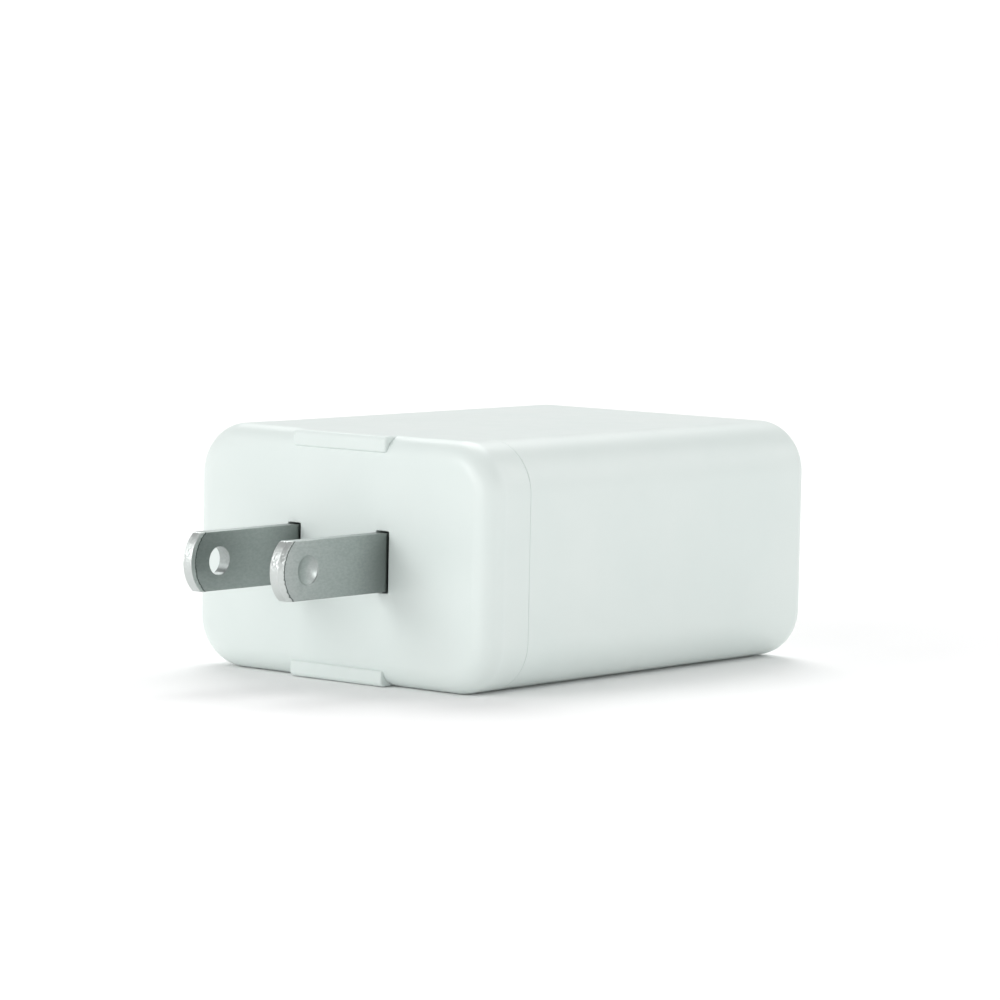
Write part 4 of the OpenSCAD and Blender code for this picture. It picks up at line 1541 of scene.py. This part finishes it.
@dataclass
class MainsFilter:
    """Fuse, line capacitor, gap capacitor and the choke with its two coils."""

    fuse_radius: float = 4.2
    disc_radius: float = 4.0
    disc_thick: float = 3.2
    ring_radii: Point = (3.0, 5.4)
    ring_width: float = 4.0
    ring_edge: float = 0.45
    wire: float = 0.4
    turns: float = 7.0
    sweep: float = 130.0

    def fuse(self) -> Object:
        """Round cap over its base, with two leads."""
        lo, hi = cad_box("fuse")
        foot, top, r = lo.z + 0.2, hi.z, self.fuse_radius
        middle = sum((Vector(lead) for lead in FUSE_LEADS), Vector((0, 0))) / len(FUSE_LEADS)
        skin = Skin()
        skin.lathe([(0.0, foot), (r - 0.3, foot), (r - 0.1, foot + 0.1), (r - 0.1, foot + 1.1),
                    (r, foot + 1.2), (r, top - 0.7), (r - 0.12, top - 0.25), (r - 0.5, top), (0.0, top)],
                   middle.to_3d(), Along.Z, 64)
        for lead in FUSE_LEADS:
            skin.lead(Vector(lead).to_3d(), lo.z, foot + 0.1)
        return skin.piece("fuse_body", [FUSE_CAP.build(), PIN_TIN.build()])

    def line_capacitor(self) -> Object:
        """Moulded box with rounded edges, on two leads."""
        lo, hi = cad_box("x_capacitor")
        skin = Skin()
        skin.bar((lo.x, lo.y, lo.z + 0.2), (hi.x, hi.y, hi.z), 0.45, 0, 5)
        for lead in LINE_LEADS:
            skin.lead(Vector(lead).to_3d(), lo.z, lo.z + 0.4)
        return skin.piece("line_capacitor", [FILM_BOX.build(), PIN_TIN.build()])

    def gap_capacitor(self) -> Object:
        """Dipped disc whose coating runs a little way down its two leads."""
        lo, hi = cad_box("y_capacitor")
        centre = Vector(((lo.x + hi.x) / 2, (lo.y + hi.y) / 2, hi.z - self.disc_radius))
        half, r = self.disc_thick / 2, self.disc_radius
        rim = [(r - half + half * math.cos(a), half * math.sin(a))
               for a in (QUARTER * (i / 8 - 1) for i in range(17))]
        skin = Skin()
        skin.lathe([(0.0, -half)] + rim + [(0.0, half)], centre, Along.Y, 56)
        for gap, _ in DISC_LEADS:
            at = centre + Vector((gap, 0, 0))
            skin.lathe([(0.0, -4.6), (0.42, -4.5), (0.6, -3.6), (1.0, -2.4), (0.0, -2.0)], at, Along.Z, 20)
            skin.lead(at, lo.z - at.z, -4.2)
        return skin.piece("gap_capacitor", [DISC_EPOXY.build(), PIN_TIN.build()])

    def ring(self) -> Object:
        """Coated ring with rounded edges, standing on the choke's foot."""
        lo, hi = cad_box("choke_core")
        centre = (lo + hi) / 2
        wide = self.ring_radii[1] - self.ring_radii[0]
        middle = (self.ring_radii[0] + self.ring_radii[1]) / 2
        flat = rounded_outline(wide, self.ring_width, self.ring_edge, 5)
        skin = Skin()
        skin.lathe([(middle + u, v) for u, v in flat], centre, Along.X, 72, loop=True)
        return skin.piece("choke_ring", [RING_COATING.build()])

    def build(self) -> None:
        """Make and mount the filter's pieces."""
        mount(self.fuse(), Slot.FUSE, "fuse")
        mount(self.line_capacitor(), Slot.FILM_BOX, "x_capacitor")
        mount(self.gap_capacitor(), Slot.DISC, "y_capacitor")
        mount(self.ring(), Slot.RING, "choke_core")
        dress("choke_base", FOOT_PHENOLIC.build())
        lo, hi = cad_box("choke_core")
        centre = (lo + hi) / 2 * MM
        half_wide = (self.ring_radii[1] - self.ring_radii[0]) / 2
        copper = ENAMELLED_COPPER.build()
        tree = coil_tree()
        for node, middle in (("choke_winding_front", 270.0), ("choke_winding_rear", 90.0)):
            coil = grown(node + "_wire", tree, {
                "Turns": self.turns, "Half Deep": (half_wide + self.wire + PLAY) * MM,
                "Half Wide": (self.ring_width / 2 + self.wire + PLAY) * MM,
                "Ring Radius": (self.ring_radii[0] + self.ring_radii[1]) / 2 * MM,
                "Start": math.radians(middle - self.sweep / 2), "Sweep": math.radians(self.sweep),
                "Wire Radius": self.wire * MM, "Finish": copper},
                None, Matrix.Translation(centre) @ Matrix.Rotation(QUARTER, 4, "Y"))
            mount(coil, Slot.COPPER, node)


# Moulded phenolic cap: brown-black, satin, with a slightly cloudy skin.
FUSE_CAP = Finish("moulded_phenolic_cap", "#3A3531", "#332E2B", 0.38, 0.05, patch_mm=2.0, grain_mm=0.2,
                  depth_mm=0.004)
# Polybutylene box filled with resin: strong yellow, smooth, softly glossy.
FILM_BOX = Finish("moulded_yellow_pbt", "#E0B83A", "#D8AE31", 0.36, 0.04, patch_mm=3.0, grain_mm=0.25,
                  depth_mm=0.003)
# Dipped epoxy: deep blue, glossy and thick, uneven like set syrup.
DISC_EPOXY = Finish("dipped_blue_epoxy", "#2B6CA6", "#245F95", 0.24, 0.06, patch_mm=1.6, grain_mm=0.9,
                    depth_mm=0.03, coat=0.4)
# Powder coat on the ring: matt green with an orange-peel skin.
RING_COATING = Finish("green_powder_coat", "#4B8552", "#427A49", 0.5, 0.05, patch_mm=2.0, grain_mm=0.45,
                      depth_mm=0.02)
# Copper wire in clear polyurethane enamel: dark orange metal with a wet gloss over it.
ENAMELLED_COPPER = Finish("enamelled_copper_wire", "#C0703A", "#A85C2C", 0.26, 0.05, metallic=1.0,
                          patch_mm=1.2, grain_mm=0.2, depth_mm=0.002, coat=0.6)
# Phenolic board punched to shape: black-brown and dry, with a faint paper fibre.
FOOT_PHENOLIC = Finish("punched_phenolic_board", "#2B2A29", "#33302D", 0.6, 0.05, patch_mm=1.0,
                       grain_mm=0.2, depth_mm=0.008, stretch=(0.3, 1.0, 1.0))


# ---------- storage capacitors ----------


@dataclass
class Canned:
    """Pair of electrolytic capacitors: can with a rolled bead and a vent cross, bung below."""

    kind: str
    radius: float
    height: float
    bead_z: float
    sleeved: bool
    bead: float = 0.4
    shoulder: float = 0.6
    vent: float = 0.08
    cross: float = 0.09
    film: float = 0.1
    turned_over: float = 1.1

    def can(self, side: Side, metal: Material) -> Object:
        """Can of one capacitor.

        Args:
            side: Which one.
            metal: Its finish.

        Returns:
            The finished piece.
        """
        lo, hi = cad_box(f"{self.kind}_can_{side.word}")
        centre = Vector(((lo.x + hi.x) / 2, (lo.y + hi.y) / 2, lo.z))
        r, h, b = self.radius, self.height, self.bead
        bead = [(r - b * math.cos(a), self.bead_z + b * math.sin(a))
                for a in (QUARTER * (i / 6 - 1) for i in range(13))]
        top = [(r - i, z) for i, z in fillet(self.shoulder, h, -1, 6)]
        profile = [(0.0, 1.1), (r - 0.6, 1.1), (r - 0.6, 0.06), (r - 0.5, 0.0), (r - 0.1, 0.0), (r, 0.1)]
        vent = h - self.vent
        profile += bead + top + [(r - 0.9, h), (r - 1.05, vent), (0.0, vent)]
        skin = Skin()
        skin.lathe(profile, centre, Along.Z, 64)
        reach = r * 0.6
        for half_x, half_y in ((reach, self.cross), (self.cross, reach)):
            skin.bar((centre.x - half_x, centre.y - half_y, lo.z + vent - 0.1),
                     (centre.x + half_x, centre.y + half_y, lo.z + vent + 0.05), 0.05)
        return skin.piece(f"{self.kind}_can_drawn_{side.word}", [metal])

    def sleeve(self, side: Side, film: Material) -> Object:
        """Shrink sleeve of one capacitor, turned over the can's top edge.

        Args:
            side: Which one.
            film: Its finish.

        Returns:
            The finished piece.
        """
        lo, hi = cad_box(f"{self.kind}_sleeve_{side.word}")
        centre = Vector(((lo.x + hi.x) / 2, (lo.y + hi.y) / 2, 0))
        r, t, lip = (hi.x - lo.x) / 2, self.film, self.turned_over
        over = [(r - i, z) for i, z in fillet(self.shoulder, hi.z, -1, 6)]
        under = [(r - t - i, z) for i, z in fillet(self.shoulder - t, hi.z - t, -1, 6)[::-1]]
        ring = [(r - t, lo.z), (r, lo.z)] + over + [(r - lip, hi.z), (r - lip, hi.z - t)] + under
        skin = Skin()
        skin.lathe(ring, centre, Along.Z, 64, loop=True)
        return skin.piece(f"{self.kind}_film_{side.word}", [film])

    def build(self) -> None:
        """Make and mount the pair."""
        metal, film, rubber = CAN_ALUMINIUM.build(), SLEEVE_FILM.build(), BUNG_RUBBER.build()
        for side in Side:
            mount(self.can(side, metal), Slot.CAN, f"{self.kind}_can_{side.word}")
            dress(f"{self.kind}_bung_{side.word}", rubber)
            if self.sleeved:
                mount(self.sleeve(side, film), Slot.SLEEVE, f"{self.kind}_sleeve_{side.word}")


# Impact-drawn aluminium: pale silver with faint rings and a soft satin shine.
CAN_ALUMINIUM = Finish("drawn_aluminium_can", "#D3D5D6", "#C8CACC", 0.28, 0.05, metallic=1.0, grain_mm=0.2,
                       depth_mm=0.002, stretch=(1.0, 1.0, 4.0))
# Shrunk PET film: near black and glossy, with a pale stripe.
SLEEVE_FILM = StripedSleeve("shrunk_pet_film", "#1F2530", "#B8BCC4", 0.3, 0.05, grain_mm=1.2, depth_mm=0.01,
                            coat=0.3)
# Butyl rubber: dull black, slightly bloomed.
BUNG_RUBBER = Finish("butyl_rubber", "#1E1E1F", "#29292A", 0.75, 0.05, patch_mm=1.0, grain_mm=0.15,
                     depth_mm=0.006)


# ---------- transformer ----------


@dataclass
class Transformer:
    """Ferrite core halves, bobbin, winding under tape, and pins."""

    wire: float = 0.2
    turns: float = 14.0

    def build(self) -> None:
        """Dress the carried-over pieces, then wind and mount the coil."""
        ferrite = FERRITE.build()
        for half in ("lower", "upper"):
            dress(f"transformer_core_{half}", ferrite)
        dress("transformer_bobbin", BOBBIN_RESIN.build())
        dress("transformer_tape", TAPE_FILM.build())
        dress("transformer_pins", PIN_TIN.build())
        lo, hi = cad_box("transformer_winding")
        middle = Vector(((lo.x + hi.x) / 2, (lo.y + hi.y) / 2, lo.z + self.wire)) * MM
        coil = grown("transformer_wire", coil_tree(), {
            "Turns": self.turns, "Half Deep": ((hi.x - lo.x) / 2 - self.wire) * MM,
            "Half Wide": ((hi.y - lo.y) / 2 - self.wire) * MM, "Sweep": 0.0,
            "Climb": (hi.z - lo.z - 2 * self.wire) * MM, "Wire Radius": self.wire * MM,
            "Finish": ENAMELLED_COPPER.build()}, None, Matrix.Translation(middle))
        mount(coil, Slot.COPPER, "transformer_winding")


# Sintered manganese-zinc ferrite: charcoal, ground, with fine pores.
FERRITE = Finish("sintered_ferrite", "#3A3A3D", "#434346", 0.5, 0.07, patch_mm=1.4, grain_mm=0.14,
                 depth_mm=0.012)
# Glass-filled phenolic resin: blue-black, satin.
BOBBIN_RESIN = Finish("phenolic_bobbin", "#1F2A37", "#26313E", 0.42, 0.05, patch_mm=2.0, grain_mm=0.2,
                      depth_mm=0.006)
# Polyester tape: clear yellow, glossy, with fine lines round the wrap.
TAPE_FILM = Finish("polyester_tape", "#E6C63C", "#DDBA30", 0.22, 0.05, patch_mm=2.5, grain_mm=0.5,
                   depth_mm=0.012, stretch=(0.2, 0.2, 1.5), coat=0.3)


# ---------- plug end inside, heat and insulation ----------


@dataclass
class Inner:
    """Retainer, contact springs, heat spreader, thermal pad and insulating sheet, as the CAD has them."""

    def build(self) -> None:
        """Dress each of them."""
        bronze = SPRING_BRONZE.build()
        dress("line_contact_spring", bronze)
        dress("neutral_contact_spring", bronze)
        dress("blade_retainer", RETAINER_PBT.build())
        dress("heat_spreader", SPREADER_ALUMINIUM.build())
        dress("thermal_pad", PAD_SILICONE.build())
        dress("insulation_sheet", SHEET_PAPER.build())


# Rolled phosphor bronze: warm brown-gold strip with lines along the roll.
SPRING_BRONZE = Finish("rolled_phosphor_bronze", "#C9A067", "#BC9159", 0.3, 0.05, metallic=1.0,
                       grain_mm=0.15, depth_mm=0.003, stretch=(1.0, 1.0, 0.1))
# Flame-retardant PBT, moulded: warm off-white, dull.
RETAINER_PBT = Finish("moulded_offwhite_pbt", "#DBD7CC", "#D3CFC3", 0.48, 0.05, patch_mm=3.0, grain_mm=0.25,
                      depth_mm=0.006)
# Rolled aluminium sheet: pale, with fine lines along the roll.
SPREADER_ALUMINIUM = Finish("rolled_aluminium_sheet", "#C6C9CB", "#BABDC0", 0.32, 0.06, metallic=1.0,
                            patch_mm=6.0, grain_mm=0.2, depth_mm=0.004, stretch=(1.0, 0.04, 1.0))
# Filled silicone gel pad: blue-grey, soft and slightly tacky, with a pebbled skin.
PAD_SILICONE = Finish("filled_silicone_pad", "#8FA4B2", "#869BAA", 0.62, 0.06, ior=1.41, patch_mm=2.0,
                      grain_mm=0.5, depth_mm=0.03)
# Aramid paper: cream, matt, with visible fibres.
SHEET_PAPER = Finish("aramid_paper", "#E8E1CB", "#DED5BA", 0.7, 0.05, patch_mm=1.2, grain_mm=0.3,
                     depth_mm=0.02, stretch=(1.0, 0.25, 1.0))


# ---------- studio ----------


@dataclass
class Studio:
    """Pale floor, soft lights and the camera. Sizes in millimetres, angles in degrees."""

    azimuth: float = 219.456
    elevation: float = 4.997
    roll: float = 1.169
    distance: float = 518.5
    focal: float = 165.58
    aside: float = -0.592
    above: float = 4.648
    target: tuple[float, float, float] = (0.0, -8.5, 13.5)
    lamps: tuple[tuple[str, float, float, float, float], ...] = (
        ("key", 60.0, 20.0, 0.86, 30.0),
        ("left", 90.0, 35.0, 0.225, 30.0),
        ("front", 30.0, 10.0, 0.32, 20.0),
        ("right", -100.0, 30.0, 0.585, 40.0),
        ("low_right", -60.0, 8.0, 0.3, 20.0),
        ("back", 180.0, 50.0, 1.02, 40.0),
        ("high_back", 180.0, 65.0, 0.4, 30.0),
    )
    horizon: float = 1.1
    overhead: float = 0.47
    fades_over: Point = (0.04, 0.2)
    sensor: float = 36.0
    sees: Point = (0.01, 50.0)
    floor_reach: float = 20000.0
    floor_z: float = -0.05

    def axes(self) -> tuple[Vector, Vector, Vector]:
        """Camera's right, up and backward directions."""
        turn, rise, roll = (math.radians(a) for a in (self.azimuth, self.elevation, self.roll))
        back = Vector((math.sin(turn) * math.cos(rise), -math.cos(turn) * math.cos(rise), math.sin(rise)))
        right = (-back).cross(Vector((0, 0, 1))).normalized()
        up = right.cross(-back)
        return (right * math.cos(roll) + up * math.sin(roll), up * math.cos(roll) - right * math.sin(roll),
                back)

    def camera(self) -> None:
        """Place the camera."""
        right, up, back = self.axes()
        centre = Vector(self.target) + back * self.distance + right * self.aside + up * self.above
        data = bpy.data.cameras.new("camera")
        data.lens = self.focal
        data.sensor_width = self.sensor
        data.clip_start, data.clip_end = self.sees
        thing = bpy.data.objects.new("camera", data)
        turn = Matrix((right, up, back)).transposed().to_4x4()
        thing.matrix_world = Matrix.Translation(centre * MM) @ turn
        bpy.context.scene.collection.objects.link(thing)
        bpy.context.scene.camera = thing

    def floor(self) -> None:
        """Large pale floor just under the case."""
        skin = Skin()
        reach = self.floor_reach
        corners = ((reach, reach), (-reach, reach), (-reach, -reach), (reach, -reach))
        skin.fill(skin.ring([Vector((x, y, self.floor_z)) for x, y in corners]))
        thing = skin.piece("floor", [FLOOR_PAINT.build()])
        if thing.data.polygons[0].normal.z < 0:
            thing.data.flip_normals()

    def sun(self, name: str, towards: Vector, strength: float, spread: float) -> None:
        """Add a broad distant light.

        Args:
            name: The lamp's name.
            towards: Direction from the object to the light.
            strength: Its strength.
            spread: Its angular size in degrees.
        """
        data = bpy.data.lights.new(name, "SUN")
        data.energy = strength
        data.angle = math.radians(spread)
        thing = bpy.data.objects.new(name, data)
        thing.matrix_world = towards.to_track_quat("Z", "Y").to_matrix().to_4x4()
        bpy.context.scene.collection.objects.link(thing)

    def sky(self) -> None:
        """Even white round the horizon, softer overhead."""
        world = bpy.data.worlds.new("studio")
        bpy.context.scene.world = world
        world.use_nodes = True
        tree = world.node_tree
        tree.nodes.clear()
        height = add_node(tree, "ShaderNodeSeparateXYZ", None, {
            "Vector": add_node(tree, "ShaderNodeTexCoord").outputs["Generated"]}).outputs["Z"]
        level = add_node(tree, "ShaderNodeMapRange", None, {
            "Value": height, "From Min": self.fades_over[0], "From Max": self.fades_over[1],
            "To Min": self.horizon, "To Max": self.overhead})
        shade = add_node(tree, "ShaderNodeBackground", None, {
            "Color": (1.0, 1.0, 1.0, 1.0), "Strength": level.outputs["Result"]})
        add_node(tree, "ShaderNodeOutputWorld", None, {"Surface": shade.outputs["Background"]})

    def build(self) -> None:
        """Set up the whole studio."""
        bpy.context.scene.view_settings.view_transform = "Standard"
        self.floor()
        self.sky()
        right, _, back = self.axes()
        toward_camera = Vector((back.x, back.y, 0)).normalized()
        sideways = Vector((right.x, right.y, 0)).normalized()
        for name, turn, rise, strength, spread in self.lamps:
            turn, rise = math.radians(turn), math.radians(rise)
            across = toward_camera * math.cos(turn) - sideways * math.sin(turn)
            self.sun(name, across * math.cos(rise) + Vector((0, 0, math.sin(rise))), strength, spread)
        self.camera()


# Matt white studio paint: an even pale ground that takes a soft shadow.
FLOOR_PAINT = Finish("matt_white_floor_paint", "#FEFEFE", "#FDFDFD", 0.9, 0.02, patch_mm=200.0,
                     grain_mm=3.0, depth_mm=0.01)


def main() -> None:
    """Build the studio and the charger's sub-assemblies in order."""
    logging.basicConfig(level=logging.INFO, format="%(message)s")
    Studio().build()
    Case().build()
    Blades().build()
    Sockets().build()
    Boards().build()
    MainsFilter().build()
    Canned("bulk_capacitor", 4.85, 16.0, 2.4, True).build()
    Canned("output_capacitor", 4.0, 11.5, 2.0, False).build()
    Transformer().build()
    Inner().build()


if __name__ == "__main__":
    main()
